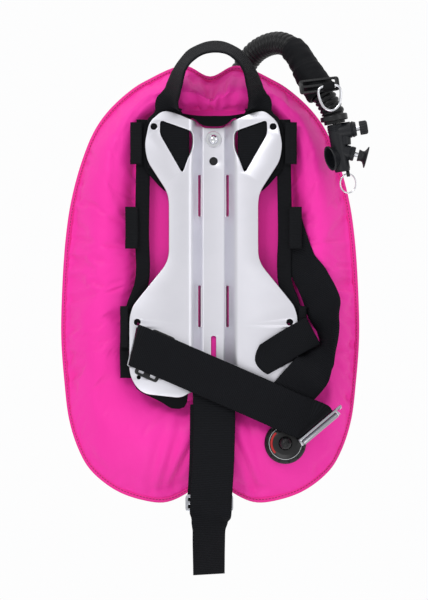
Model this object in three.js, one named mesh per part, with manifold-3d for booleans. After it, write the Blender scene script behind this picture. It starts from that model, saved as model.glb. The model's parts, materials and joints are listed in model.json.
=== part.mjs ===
// Backplate-and-wing buoyancy compensator: a folded steel plate, an inflatable ring-shaped wing
// behind it, 50 mm webbing, a corrugated hose with a power inflator, and a pull dump valve.
// Millimetres. +X is the diver's left, +Y points to the tank, +Z is up.
// The origin lies on the plate's rear channel face, midway between the two tank bolts.
import * as THREE from 'three';
import { mergeVertices } from 'three/addons/utils/BufferGeometryUtils.js';
import Module from 'manifold-3d';

const wasm = await Module();
wasm.setup();

// ---------------------------------------------------------------- driving dimensions
const gap = 0.3; // clearance between neighbouring pieces

const boltSpacing = 279.4; // tank bolts, 11 inches
const boltRadius = 4;
const boltHeadRadius = 5.5;
const washerRadius = 9.6;
const washerThickness = 1.5;
const nutRadius = 10;
const nutHeight = 9;

const plateThickness = 3;
const plateTop = 174;
const plateBottom = -170;
const plateWaistHalf = 53.5;
const plateUpperHalf = 82.5;
const plateLowerHalf = 100.7;
const channelFloorHalf = 14.4;
const channelMouthHalf = 28.2;
const channelDepth = 18;
const wingFold = THREE.MathUtils.degToRad(7); // the plate's sides lean toward the diver
const slotWidth = 3.6;
const camSlotLength = 50;

const webbing = 50;
const webbingThickness = 2.4;
const loopWebbing = 36; // the narrower webbing of the right waist loop
const bandWidth = 17;
const padThickness = 3;

const wingHalfWidth = 179;
const wingTop = 229;
const wingBottom = -296;
const wingCentreX = -4;
const wingFabric = 1.2;
const bladderFilm = 0.8;
const bladderInset = 6;
const fullness = 0.45; // a tube's half depth is at most this share of its width
const seamWidth = 4.7;
const seamThickness = 2.6;
const seamY = 14; // depth of the perimeter seam
const frontBulge = 25;
const rearBulge = 46;
const panelHalfWidth = 93;
const panelHalfHeight = 172;
const panelThickness = 2;

const hoseDiameter = 28;
const sleeveThickness = 2.5;

const dumpX = 85.8;
const dumpZ = -223.8;
const dumpRadius = 25;
const dumpBore = 10;
const dumpSpigot = 15.8;

const inflatorTube = 9.6;
const buttonTravel = 4;

const buckleLength = 58;
const buckleDepth = 44;
const sheet = 2.5; // thickness of the stamped steel frames

// ---------------------------------------------------------------- materials
const finish = (color, roughness, metalness = 0) =>
  new THREE.MeshStandardMaterial({ color, roughness, metalness });
const looks = {
  steel: finish(0xd0d0d8, 0.35, 1),
  chrome: finish(0xdddfe3, 0.15, 1),
  nylon: finish(0xec2d9b, 0.6),
  webbing: finish(0x1c1e23, 0.8),
  pad: finish(0x17181c, 0.9),
  film: finish(0xc8c8d0, 0.5),
  hose: finish(0x232529, 0.55),
  plastic: finish(0x32343c, 0.5),
  rubber: finish(0x202226, 0.8),
};

// ---------------------------------------------------------------- helpers
const part = new THREE.Group();
const V = (x, y, z) => new THREE.Vector3(x, y, z);

function add(name, geometry, material, holder = part) {
  const mesh = new THREE.Mesh(geometry, material);
  mesh.name = name;
  holder.add(mesh);
  return mesh;
}

function toSolid(geometry) {
  const plain = geometry.clone();
  plain.deleteAttribute('normal');
  plain.deleteAttribute('uv');
  const merged = mergeVertices(plain, 1e-4);
  return new wasm.Manifold(new wasm.Mesh({
    numProp: 3,
    vertProperties: Float32Array.from(merged.attributes.position.array),
    triVerts: Uint32Array.from(merged.index.array),
  }));
}

function toGeometry(solid) {
  const mesh = solid.getMesh();
  const geometry = new THREE.BufferGeometry();
  geometry.setAttribute('position', new THREE.BufferAttribute(Float32Array.from(mesh.vertProperties), 3));
  geometry.setIndex(new THREE.BufferAttribute(Uint32Array.from(mesh.triVerts), 1));
  return geometry;
}

const cut = (geometry, ...tools) =>
  toGeometry(tools.reduce((solid, tool) => solid.subtract(toSolid(tool)), toSolid(geometry)));
const join = (geometry, ...others) =>
  toGeometry(others.reduce((solid, other) => solid.add(toSolid(other)), toSolid(geometry)));
const common = (a, b) => toGeometry(toSolid(a).intersect(toSolid(b)));

// A closed body through equal rings of points; closed joins the last ring to the first.
// The two halves of a ring are split along matching diagonals, so that a thin wall stays even.
function loft(rings, closed = false) {
  const count = rings[0].length;
  const points = rings.flat();
  const faces = [];
  const spans = closed ? rings.length : rings.length - 1;
  for (let i = 0; i < spans; i++) {
    const a = i * count;
    const b = ((i + 1) % rings.length) * count;
    for (let j = 0; j < count; j++) {
      const k = (j + 1) % count;
      if (j < count / 2) faces.push(a + j, b + j, b + k, a + j, b + k, a + k);
      else faces.push(a + j, b + j, a + k, a + k, b + j, b + k);
    }
  }
  if (!closed) {
    const last = (rings.length - 1) * count;
    for (let j = 1; j < count - 1; j++) {
      faces.push(0, j, j + 1, last, last + j + 1, last + j);
    }
  }
  let volume = 0;
  for (let i = 0; i < faces.length; i += 3) {
    const [a, b, c] = [points[faces[i]], points[faces[i + 1]], points[faces[i + 2]]];
    volume += a.dot(b.clone().cross(c));
  }
  if (volume < 0) faces.reverse();
  const geometry = new THREE.BufferGeometry();
  geometry.setAttribute('position', new THREE.Float32BufferAttribute(points.flatMap((p) => p.toArray()), 3));
  geometry.setIndex(faces);
  return geometry;
}

// Flat webbing through stations [x, y, z, wx, wy, wz, share]: a place, the direction across the width,
// and the share of the width that is left where the webbing is gathered.
function ribbon(stations, width, steps, thickness = webbingThickness) {
  const centre = new THREE.CatmullRomCurve3(stations.map((s) => V(s[0], s[1], s[2])), false, 'centripetal');
  const across = new THREE.CatmullRomCurve3(stations.map((s) => V(s[3], s[4], s[5])), false, 'catmullrom', 0);
  const shares = new THREE.CatmullRomCurve3(stations.map((s) => V(s[6] ?? 1, 0, 0)), false, 'catmullrom', 0);
  const rings = [];
  for (let i = 0; i <= steps; i++) {
    const t = i / steps;
    const half = width * shares.getPoint(t).x / 2;
    const middle = centre.getPoint(t);
    const tangent = centre.getTangent(t);
    const normal = tangent.clone().cross(across.getPoint(t)).normalize();
    const side = normal.clone().cross(tangent).normalize();
    rings.push([[-1, -1], [1, -1], [1, 1], [-1, 1]].map(([w, n]) => middle.clone()
      .addScaledVector(side, w * half).addScaledVector(normal, n * thickness / 2)));
  }
  return loft(rings);
}

// A shape from corner points, each corner rounded by a curve that starts a radius away.
function roundedShape(points, radius) {
  const shape = new THREE.Shape();
  const corners = points.map(([x, y]) => new THREE.Vector2(x, y));
  corners.forEach((corner, i) => {
    const before = corners[(i + corners.length - 1) % corners.length];
    const after = corners[(i + 1) % corners.length];
    const reach = (to) => Math.min(radius, corner.distanceTo(to) * 0.45);
    const start = corner.clone().lerp(before, reach(before) / corner.distanceTo(before));
    const end = corner.clone().lerp(after, reach(after) / corner.distanceTo(after));
    if (i === 0) shape.moveTo(start.x, start.y);
    else shape.lineTo(start.x, start.y);
    shape.quadraticCurveTo(corner.x, corner.y, end.x, end.y);
  });
  shape.closePath();
  return shape;
}

const mirrored = (half) => [...half, ...half.slice().reverse().map(([x, z]) => [-x, z])];

// A shape drawn in X and Z, given depth from one Y to another.
function slab(shape, from, to, curveSegments = 2) {
  const geometry = new THREE.ExtrudeGeometry(shape, { depth: to - from, bevelEnabled: false, curveSegments });
  geometry.rotateX(Math.PI / 2);
  geometry.translate(0, to, 0);
  return geometry;
}

function box(width, depth, height, x = 0, y = 0, z = 0) {
  const geometry = new THREE.BoxGeometry(width, depth, height);
  geometry.translate(x, y, z);
  return geometry;
}

// A cylinder along Y between two depths.
function discY(radius, from, to, x = 0, z = 0, sides = 14) {
  const geometry = new THREE.CylinderGeometry(radius, radius, to - from, sides);
  geometry.translate(x, (from + to) / 2, z);
  return geometry;
}

// A turned piece whose profile [radius, height] closes on itself.
const turned = (profile, sides = 16) =>
  new THREE.LatheGeometry([...profile, profile[0]].map(([r, h]) => new THREE.Vector2(r, h)), sides);

// A turned piece whose profile starts and ends on the axis.
const turnedSolid = (profile, sides = 16) =>
  new THREE.LatheGeometry(profile.map(([r, h]) => new THREE.Vector2(r, h)), sides);

function circle(radius, sides) {
  const shape = new THREE.Shape();
  for (let i = 0; i < sides; i++) {
    const angle = (i / sides) * 2 * Math.PI;
    shape[i ? 'lineTo' : 'moveTo'](radius * Math.cos(angle), radius * Math.sin(angle));
  }
  shape.closePath();
  return shape;
}

const sweep = (shape, curve, steps) =>
  new THREE.ExtrudeGeometry(shape, { steps, extrudePath: curve, bevelEnabled: false });

// Round wire bent along a closed curve.
function wireLoop(curve, radius, steps, sides = 8) {
  const frames = curve.computeFrenetFrames(steps, true);
  const rings = [];
  for (let i = 0; i < steps; i++) {
    const middle = curve.getPointAt(i / steps);
    const ring = [];
    for (let j = 0; j < sides; j++) {
      const angle = (j / sides) * 2 * Math.PI;
      ring.push(middle.clone().addScaledVector(frames.normals[i], radius * Math.cos(angle))
        .addScaledVector(frames.binormals[i], radius * Math.sin(angle)));
    }
    rings.push(ring);
  }
  return loft(rings, true);
}

function coil(radius, wire, height, turns, x, y, z) {
  const steps = turns * 8;
  const points = [];
  for (let i = 0; i <= steps; i++) {
    const angle = (i / steps) * turns * 2 * Math.PI;
    points.push(V(radius * Math.cos(angle), (i / steps) * height, radius * Math.sin(angle)));
  }
  const geometry = sweep(circle(wire, 4), new THREE.CatmullRomCurve3(points), steps);
  geometry.translate(x, y, z);
  return geometry;
}

// ---------------------------------------------------------------- backplate
const leanY = (x) => -channelDepth - Math.max(0, Math.abs(x) - channelMouthHalf) * Math.tan(wingFold);

// A folded sheet: its rear line goes through the points, and its thickness lies toward the diver.
function foldedSheet(rear, thickness, from, to) {
  const line = [...rear.slice().reverse().map(([x, y]) => [-x, y]), ...rear]
    .map(([x, y]) => new THREE.Vector2(x, y));
  const normals = line.slice(1).map((p, i) => {
    const along = p.clone().sub(line[i]).normalize();
    return new THREE.Vector2(along.y, -along.x);
  });
  const front = line.map((p, i) => {
    const a = normals[Math.max(0, i - 1)];
    const b = normals[Math.min(normals.length - 1, i)];
    return p.clone().add(a.clone().add(b).multiplyScalar(thickness / (1 + a.dot(b))));
  });
  const shape = new THREE.Shape([...line, ...front.reverse()]);
  const geometry = new THREE.ExtrudeGeometry(shape, { depth: to - from, bevelEnabled: false });
  geometry.translate(0, 0, from);
  return geometry;
}

const plateEdge = mirrored([
  [channelFloorHalf - 1, plateTop - 20.6], [23, plateTop - 13.2], [45, plateTop - 3.5], [60.6, plateTop],
  [77, plateTop - 14], [plateUpperHalf, 133], [plateUpperHalf - 3, 113.5], [plateWaistHalf + 2.5, 77],
  [plateWaistHalf, 65], [plateWaistHalf, 1], [plateWaistHalf + 4, -11.3], [plateLowerHalf - 10, -52.2],
  [plateLowerHalf - 3.7, -60.7], [plateLowerHalf, -74.4], [plateLowerHalf, plateBottom + 30],
  [plateLowerHalf - 7.3, plateBottom + 14], [plateLowerHalf - 18.3, plateBottom + 5],
  [38.6, plateBottom], [27, plateBottom + 8],
]);
const strapSlotAngle = Math.atan2(11.9, 49.8); // the waist slots lean outward at the bottom
const strapSlotX = 94.4;
const strapSlotZ = -106.5;
const strapSlotDepth = 5;
const crotchSlotZ = -153;

function strapSlot(side) {
  const geometry = box(strapSlotDepth, 40, webbing + 3);
  geometry.rotateY(-side * strapSlotAngle);
  geometry.translate(side * strapSlotX, -20, strapSlotZ);
  return geometry;
}

function backplate() {
  const rear = [[channelFloorHalf, 0], [channelMouthHalf, -channelDepth], [110, leanY(110)]];
  const folded = foldedSheet(rear, plateThickness, plateBottom - 5, plateTop + 5);
  const outline = slab(roundedShape(plateEdge, 8), -60, 5);
  const kidney = [[64, 162.3], [28.3, 149.8], [25.6, 143.4], [26, 130], [37.4, 98.4], [64.4, 145.5]];
  const holes = [];
  for (const side of [-1, 1]) {
    holes.push(slab(roundedShape(kidney.map(([x, z]) => [side * x, z]), 5), -60, 5));
    holes.push(discY(4, -60, 5, side * 71.5, 154.4), discY(4, -60, 5, side * 91.3, -79.3));
    holes.push(box(slotWidth, 60, camSlotLength, side * 18.6, -10, 72));
    holes.push(box(slotWidth, 60, camSlotLength, side * 18.6, -10, -60.5), strapSlot(side));
  }
  holes.push(discY(5, -60, 5, 0, 113.6), box(6, 60, 32, 0, 0, -112), discY(2.5, -60, 5, -89.4, -145, 12));
  for (const side of [-1, 1]) holes.push(discY(boltRadius + gap, -60, 5, 0, side * boltSpacing / 2));
  holes.push(box(webbing + 3, 60, webbingThickness + 3, 0, 0, crotchSlotZ));
  return cut(common(folded, outline), ...holes);
}
add('backplate', backplate(), looks.steel);

// ---------------------------------------------------------------- bolts through plate and wing
const patchThickness = 1.2;
const patchRear = gap + panelThickness + gap + patchThickness;
for (const [place, z] of [['upper', boltSpacing / 2], ['lower', -boltSpacing / 2]]) {
  const washerRear = -plateThickness - gap;
  const headRear = washerRear - washerThickness - gap;
  const washer = turned([[boltRadius + gap, 0], [washerRadius, 0], [washerRadius, washerThickness],
    [boltRadius + gap, washerThickness]]);
  washer.translate(0, washerRear - washerThickness, z);
  add(`bolt_washer_${place}`, washer, looks.chrome);
  const boltEnd = patchRear + nutHeight + 4;
  const bolt = turnedSolid([[0, boltEnd], [boltRadius, boltEnd], [boltRadius, headRear],
    [boltHeadRadius, headRear], [boltHeadRadius - 0.6, headRear - 2], [boltHeadRadius - 2.6, headRear - 3.8],
    [0, headRear - 4.4]].reverse());
  bolt.translate(0, 0, z);
  add(`tank_bolt_${place}`, bolt, looks.chrome);
  const nut = cut(discY(nutRadius, patchRear + gap, patchRear + gap + nutHeight, 0, z, 6),
    discY(boltRadius + gap, 0, 40, 0, z));
  add(`bolt_nut_${place}`, nut, looks.chrome);
  const patch = cut(slab(roundedShape([[-32, z - 22], [32, z - 22], [32, z + 22], [-32, z + 22]], 8),
    gap + panelThickness + gap, patchRear), discY(boltRadius + gap, 0, 40, 0, z));
  add(`bolt_patch_${place}`, patch, looks.rubber);
}

// ---------------------------------------------------------------- wing
const wingEdge = [
  [0, wingTop - 13], [31, wingTop], [77, wingTop - 18], [96, wingTop - 30], [122, wingTop - 54],
  [139, wingTop - 78], [154, 115], [wingHalfWidth - 12, 67], [wingHalfWidth - 5, 19],
  [wingHalfWidth - 0.5, -53], [wingHalfWidth, -101], [wingHalfWidth - 3.5, -149],
  [wingHalfWidth - 9.5, wingBottom + 99], [wingHalfWidth - 21, wingBottom + 63],
  [wingHalfWidth - 35, wingBottom + 39], [114.5, wingBottom + 15], [82.8, wingBottom + 3],
  [54, wingBottom], [28, wingBottom + 11], [0, wingBottom + 34],
];
const wingCurve = new THREE.CatmullRomCurve3(
  [...wingEdge, ...wingEdge.slice(1, -1).reverse().map(([x, z]) => [-x, z])]
    .map(([x, z]) => V(wingCentreX + x, 0, z)),
  true, 'centripetal');

// The inner seam, a rounded rectangle, in the direction of a point of the outline.
function innerSeam(outer, grow) {
  const angle = Math.atan2(outer.z, outer.x);
  const power = 5;
  const across = Math.abs(Math.cos(angle) / (panelHalfWidth + grow)) ** power;
  const up = Math.abs(Math.sin(angle) / (panelHalfHeight + grow)) ** power;
  const radius = (across + up) ** (-1 / power);
  return V(radius * Math.cos(angle), 0, radius * Math.sin(angle));
}

const wingStations = 44;
const wingStrips = 5;

// Half of an inflated ring: side -1 is the diver's side and 1 the tank's side.
function halfRing(side, bulge, thickness, inset, stations, strips) {
  const rings = [];
  for (let i = 0; i < stations; i++) {
    const edge = wingCurve.getPointAt(i / stations);
    const width = edge.distanceTo(innerSeam(edge, 0));
    const height = Math.min(bulge, width * fullness) - inset;
    const line = (shrink) => {
      const inward = innerSeam(edge, inset + shrink);
      const away = edge.clone().sub(inward).normalize();
      const outward = edge.clone().addScaledVector(away, -seamWidth - inset - shrink);
      const points = [];
      for (let k = 0; k <= strips; k++) {
        const s = k / strips;
        const base = THREE.MathUtils.lerp(seamY, gap + panelThickness / 2, s);
        const rise = (height - shrink) * Math.sin(Math.PI * s) ** 0.9;
        const point = outward.clone().lerp(inward, s);
        point.y = base + side * (gap / 2 + rise);
        points.push(point);
      }
      return points;
    };
    rings.push([...line(0), ...line(thickness).reverse()]);
  }
  return loft(rings, true);
}

// Depth of the shell's outer surface over a point of the wing.
function wingSurface(x, z, side, bulge) {
  const angle = Math.atan2(z, x);
  let edge = wingCurve.getPointAt(0);
  for (let i = 1; i < 720; i++) {
    const next = wingCurve.getPointAt(i / 720);
    const turn = (p) => 1 - Math.cos(Math.atan2(p.z, p.x) - angle);
    if (turn(next) < turn(edge)) edge = next;
  }
  const inner = innerSeam(edge, 0);
  const outer = edge.length() - seamWidth;
  const s = (outer - Math.hypot(x, z)) / (outer - inner.length());
  const height = Math.min(bulge, edge.distanceTo(inner) * fullness);
  return THREE.MathUtils.lerp(seamY, gap + panelThickness / 2, s)
    + side * (gap / 2 + height * Math.sin(Math.PI * s) ** 0.9);
}

const dumpHole = () => discY(dumpSpigot + 2 * gap, -60, 0, dumpX, dumpZ);
const frontCloth = halfRing(-1, frontBulge, wingFabric, 0, wingStations, wingStrips);
add('wing_front_shell', cut(frontCloth, dumpHole()), looks.nylon);
add('wing_rear_shell', halfRing(1, rearBulge, wingFabric, 0, wingStations, wingStrips), looks.nylon);
const bladderStations = 36;
const bladderStrips = 4;
const frontFilm = halfRing(-1, frontBulge, bladderFilm, bladderInset, bladderStations, bladderStrips);
add('bladder_front', cut(frontFilm, dumpHole()), looks.film);
add('bladder_rear', halfRing(1, rearBulge, bladderFilm, bladderInset, bladderStations, bladderStrips), looks.film);

function seamBinding() {
  const rings = [];
  for (let i = 0; i < wingStations; i++) {
    const edge = wingCurve.getPointAt(i / wingStations);
    const outward = edge.clone().sub(innerSeam(edge, 0)).normalize();
    const inner = edge.clone().addScaledVector(outward, gap - seamWidth);
    rings.push([[edge, -1], [edge, 1], [inner, 1], [inner, -1]].map(([p, n]) =>
      V(p.x, seamY + n * seamThickness / 2, p.z)));
  }
  return loft(rings, true);
}
add('wing_seam_binding', seamBinding(), looks.nylon);

function centrePanel() {
  const shape = new THREE.Shape();
  for (let i = 0; i < wingStations; i++) {
    const p = innerSeam(wingCurve.getPointAt(i / wingStations), -gap);
    shape[i ? 'lineTo' : 'moveTo'](p.x, p.z);
  }
  shape.closePath();
  const holes = [-1, 1].map((side) => discY(boltRadius + gap, -9, 9, 0, side * boltSpacing / 2));
  return cut(slab(shape, gap, gap + panelThickness), ...holes);
}
add('wing_centre_panel', centrePanel(), looks.nylon);

// ---------------------------------------------------------------- pads, bands and loops
// Depth of a layer that lies a given distance behind the plate's leaning sides.
const behind = (x, distance) => leanY(x) + distance;
const shoulderFront = gap;
const padFront = shoulderFront + webbingThickness + gap;
const bandFront = padFront + padThickness + gap;

function padOf(outline, front) {
  const rear = [[channelMouthHalf, behind(0, front + padThickness)], [120, behind(120, front + padThickness)]];
  return common(foldedSheet(rear, padThickness, -200, 200), slab(roundedShape(outline, 8), -60, 5));
}
add('upper_back_pad', padOf(mirrored([[0, 164], [20, 167.5], [46, 172], [62, 172], [80, 163],
  [84.2, 150], [84.2, 112], [80, 100], [60, 78], [45, 70], [29, 80], [29, 166], [22, 163.5], [13, 154.8],
  [0, 154.8]]
  .filter(([x]) => x > 0)), padFront), looks.pad);
for (const [name, side] of [['left', -1], ['right', 1]]) {
  const outline = [[30, -35], [56, -24], [88, -53], [97, -62], [98.5, -82], [98.5, -142], [93, -160],
    [60, -176], [51, -183], [33, -183], [30, -165]].map(([x, z]) => [side * x, z]);
  const pad = padOf(outline, gap);
  add(`lower_back_pad_${name}`, cut(pad, strapSlot(side)), looks.pad);
}

const bandThickness = webbingThickness;
const bandRoute = [[82, 176], [84, 100], [85.5, 30], [85.5, -30], [96, -62], [103, -100], [103, -146]];
for (const [name, side] of [['left', -1], ['right', 1]]) {
  add(`side_band_${name}`, ribbon(bandRoute.map(([x, z]) =>
    [side * x, behind(x, bandFront + bandThickness / 2), z, 1, -side * Math.tan(wingFold), 0]),
  bandWidth, 14, bandThickness), looks.webbing);
}

// The outer edge of the side band at a height, or the widest it gets within a loop's height.
function bandEdge(z) {
  const near = bandRoute.filter(([, at]) => Math.abs(at - z) < webbing).map(([x]) => x);
  return Math.max(...near) + bandWidth / 2;
}

// A stitched loop of folded webbing, open along its height.
const loopDepth = 6.4;
function webbingLoop(inside, outside, z, side) {
  const inner = side * inside;
  const outer = side * outside;
  const rear = behind(Math.min(outside, bandEdge(z)), bandFront) - gap;
  const front = rear - loopDepth;
  const wall = 2;
  const [low, high] = [Math.min(inner, outer), Math.max(inner, outer)];
  const ring = (m, y0, y1) => roundedShape([[low + m, y0], [high - m, y0], [high - m, y1], [low + m, y1]],
    2.4 - m * 0.6);
  const shape = ring(0, front, rear);
  shape.holes.push(ring(wall, front + wall, rear - wall));
  const geometry = new THREE.ExtrudeGeometry(
    shape, { depth: webbing, bevelEnabled: false, curveSegments: 2 });
  geometry.translate(0, 0, z - webbing / 2);
  return geometry;
}
for (const [place, inside, outside, z] of [['top', 85, 99.5, 134.5], ['middle', 90, 105.5, 33.6],
  ['bottom', 101.5, 111.5, -85]]) {
  for (const [name, side] of [['left', -1], ['right', 1]]) {
    add(`${place}_loop_${name}`, webbingLoop(inside, outside, z, side), looks.webbing);
  }
}

// ---------------------------------------------------------------- shoulder webbing arch
const flatX = channelMouthHalf + webbing / 2 + 1;
const flatY = behind(flatX, shoulderFront + webbingThickness / 2);
const lean = Math.tan(wingFold);
add('shoulder_webbing', ribbon([
  [-flatX, flatY, 104, 1, lean, 0], [-flatX, flatY, 140, 1, lean, 0], [-flatX, flatY, 162, 1, lean, 0],
  [-flatX, flatY, 172, 1, lean, 0, 0.66], [-flatX, flatY, 174.5, 1, lean, 0, 0.62],
  [-52.5, -29, 184, 0.62, -0.78, 0, 0.72], [-49.2, -33.5, 194, 0.42, -0.9, 0, 0.88],
  [-45.4, -37, 206, 0.36, -0.93, 0], [-37.4, -41, 226, 0.25, -0.95, -0.1],
  [-26.4, -42, 239, 0.15, -0.95, -0.25], [-10.9, -42, 247, 0, -0.95, -0.3], [3.5, -42, 249, 0, -0.95, -0.3],
  [16.2, -42, 246.6, 0, -0.95, -0.3], [29.4, -42, 238.8, -0.15, -0.95, -0.25],
  [39.6, -41, 226, -0.25, -0.95, -0.1], [47.4, -37, 206, -0.36, -0.93, 0],
  [50.5, -33.5, 194, -0.42, -0.9, 0, 0.88],
  [52.5, -29, 184, -0.62, -0.78, 0, 0.72], [flatX, flatY, 174.5, -1, lean, 0, 0.62],
  [flatX, flatY, 172, -1, lean, 0, 0.66], [flatX, flatY, 162, -1, lean, 0],
  [flatX, flatY, 140, -1, lean, 0], [flatX, flatY, 104, -1, lean, 0],
], webbing, 66), looks.webbing);

// ---------------------------------------------------------------- waist strap and buckle
const slotY = leanY(strapSlotX) - webbingThickness; // a strap end inside its slot
const buckleCentre = V(123.6, -54.5, -201.6);
const buckleAlong = V(0.766, 0, 0.643);
const buckleFace = V(0.643, 0, -0.766); // away from the strap
const strapAtBuckle = buckleCentre.clone()
  .addScaledVector(buckleFace, -sheet / 2 - 3 * gap - webbingThickness / 2);
add('waist_strap_left', ribbon([
  [-strapSlotX, slotY, strapSlotZ, -0.233, 0, -0.972],
  [-strapSlotX, slotY - 3.5, strapSlotZ, -0.233, 0, -0.972],
  [-strapSlotX + 2.5, slotY - 6.8, strapSlotZ - 1, -0.233, 0, -0.972],
  [-84, slotY - 6.8, -111, -0.3, 0, -0.95], [-60, -32.4, -121, -0.398, 0, -0.917],
  [0, -31, -147, -0.398, 0, -0.917], [45, -33.8, -166.5, -0.398, 0, -0.917],
  [70, -35.8, -177.5, -0.398, 0, -0.917], [97, -37.6, -189.5, -0.5, 0, -0.866],
  [109.5, -41, -193.8, -0.7, 0, -0.71],
  [strapAtBuckle.x - 2.8, buckleCentre.y + 8, strapAtBuckle.z + 3.3, -0.766, 0, -0.643],
  [strapAtBuckle.x, buckleCentre.y - 3, strapAtBuckle.z, -0.766, 0, -0.643],
  [strapAtBuckle.x, buckleCentre.y - buckleDepth / 2 + 4, strapAtBuckle.z, -0.766, 0, -0.643],
], webbing, 44), looks.webbing);

// A frame with slots, drawn flat in X and Z around a centre, ready to be turned.
function slotted(width, height, thickness, slots) {
  const edge = (w, h, z) => [
    [-w / 2, z - h / 2], [w / 2, z - h / 2], [w / 2, z + h / 2], [-w / 2, z + h / 2]];
  const shape = roundedShape(edge(width, height, 0), 4);
  slots.forEach(([w, h, z]) => shape.holes.push(roundedShape(edge(w, h, z), 1.5)));
  return slab(shape, -thickness / 2, thickness / 2, 3);
}

const keeperX = -70;
const keeper = slotted(webbing + 8, 30, sheet, [[webbing + 2, 7, 7.5], [webbing + 2, 7, -7.5]]);
keeper.rotateY(Math.PI / 2 + 0.41);
keeper.rotateZ(wingFold);
keeper.translate(keeperX, leanY(keeperX) - plateThickness - 2 * gap - sheet / 2, -119.5);
add('waist_keeper', keeper, looks.plastic);

const buckle = new THREE.Group();
buckle.position.copy(buckleCentre);
buckle.setRotationFromMatrix(
  new THREE.Matrix4().makeBasis(buckleAlong, buckleFace.clone().negate(), V(0, -1, 0)));
part.add(buckle);
const leverThickness = 2;
const pinRadius = 2;
const pinZ = buckleDepth / 2 - 8;
const barrelRadius = pinRadius + 1.2;
const pinY = -sheet / 2 - gap - barrelRadius;
const cheekWidth = 2.5;
function buckleFrame() {
  const plain = slotted(buckleLength, buckleDepth, sheet, [[webbing + 1.5, 9, -6], [webbing + 1.5, 6, -16]]);
  const cheeks = [-1, 1].map((side) => box(cheekWidth, 6.5, 9,
    side * (buckleLength - cheekWidth) / 2, -sheet / 2 - 2.4, pinZ));
  const flange = box(9, sheet, 14, buckleLength / 2 + 3, 0, 0);
  const pinBore = new THREE.CylinderGeometry(pinRadius + gap, pinRadius + gap, 90, 14);
  return cut(join(plain, ...cheeks, flange), pinBore.rotateZ(Math.PI / 2).translate(0, pinY, pinZ));
}
add('buckle_frame', buckleFrame(), looks.steel, buckle);
const pin = new THREE.CylinderGeometry(pinRadius, pinRadius, buckleLength + 1, 14);
pin.rotateZ(Math.PI / 2);
pin.translate(0, pinY, pinZ);
add('buckle_pin', pin, looks.chrome, buckle);
const leverWidth = buckleLength - 2 * cheekWidth - 1.2;
const lever = join(box(leverWidth, leverThickness, buckleDepth - 8, 0, pinY, pinZ - (buckleDepth - 8) / 2),
  new THREE.CylinderGeometry(barrelRadius, barrelRadius, leverWidth, 14).rotateZ(Math.PI / 2)
    .translate(0, pinY, pinZ));
add('buckle_lever', cut(lever, new THREE.CylinderGeometry(pinRadius + gap, pinRadius + gap, 90, 14)
  .rotateZ(Math.PI / 2).translate(0, pinY, pinZ)), looks.steel, buckle);
const rivet = discY(2.6, -sheet / 2 - gap - 1.2, -sheet / 2 - gap, buckleLength / 2 + 4.2, 0, 14);
add('buckle_rivet', rivet, looks.chrome, buckle);

// ---------------------------------------------------------------- right shoulder strap and waist loop
add('shoulder_strap_right', ribbon([
  [92, behind(92, bandFront + webbingThickness + gap) + 1.4, 50, 0.95, -0.12, 0.3, 0.58],
  [103, -16.4, -2.4, 0.92, -0.13, 0.38, 0.86], [118.2, -20.2, -28.8, 0.95, -0.22, 0.25],
  [129, -26.4, -52.8, 0.92, -0.44, 0.05], [136.5, -41, -84, 0.5, -0.86, 0],
  [136.2, -44, -106, 0.36, -0.92, -0.12], [127, -43, -123, 0.6, -0.7, -0.35],
  [114, -42, -141, 0.79, -0.2, -0.52], [100, -33.2, -157, 0.82, 0, -0.57],
  [90, -31.8, -169, 0.82, 0, -0.57], [83, -31.6, -180, 0.82, 0, -0.57],
], webbing, 36), looks.webbing);

const loopFront = -35.2;
const loopRear = -31.9;
add('waist_loop_right', ribbon([
  [strapSlotX, slotY, strapSlotZ, 0.233, 0, -0.972], [strapSlotX, slotY - 3, strapSlotZ, 0.233, 0, -0.972],
  [strapSlotX - 2.5, loopRear + 0.4, strapSlotZ - 1, 0.26, 0, -0.965], [84, loopRear, -111, 0.4, 0, -0.92],
  [68, loopRear, -119.5, 0.488, 0, -0.873], [55, loopRear, -126.6, 0.488, 0, -0.873],
  [51.6, (loopRear + loopFront) / 2, -128.4, 0.488, 0, -0.873], [55, loopFront, -126.6, 0.488, 0, -0.873],
  [76, loopFront, -113.5, 0.488, 0, -0.873], [98, loopFront, -100.5, 0.488, 0, -0.873],
  [119, loopFront, -89.3, 0.488, 0, -0.873],
], loopWebbing, 44), looks.webbing);

// ---------------------------------------------------------------- crotch strap
add('crotch_strap', ribbon([
  [0, -plateThickness + 1.6, crotchSlotZ, 1, 0, 0], [0, -11, crotchSlotZ, 1, 0, 0],
  [0, -18, crotchSlotZ - 0.6, 1, 0, 0], [0, -21.2, crotchSlotZ - 5, 1, 0, 0], [0.4, -22, -172, 1, 0, 0],
  [0.9, -25.4, -192, 1, 0, 0], [0.6, -29.8, -216, 1, 0, 0], [-0.5, -32, -250, 1, 0, 0],
  [-2.6, -33.8, -285, 1, 0, 0], [-3.4, -34, -306, 1, 0, 0], [-4.6, -34, -317, 0.86, 0.5, 0],
  [-5.4, -33.5, -330, 0.77, 0.64, 0], [-5.4, -33, -380, 0.74, 0.67, 0],
], webbing, 40), looks.webbing);
add('crotch_strap_return', ribbon([
  [-3.5, -19, -178, 1, 0, 0], [-3.6, -21.6, -192, 1, 0, 0], [-3.8, -25.4, -216, 1, 0, 0],
  [-4.5, -27, -250, 1, 0, 0], [-6.5, -28.1, -285, 1, 0, 0], [-7, -28.2, -303, 1, 0, 0],
], webbing - 1, 14), looks.webbing);
const slider = slotted(webbing + 7, 20, 2, [[webbing + 1, 4.5, 4.2], [webbing + 1, 4.5, -4.2]]);
slider.translate(-5, -31, -295);
add('crotch_strap_slider', slider, looks.steel);

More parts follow.
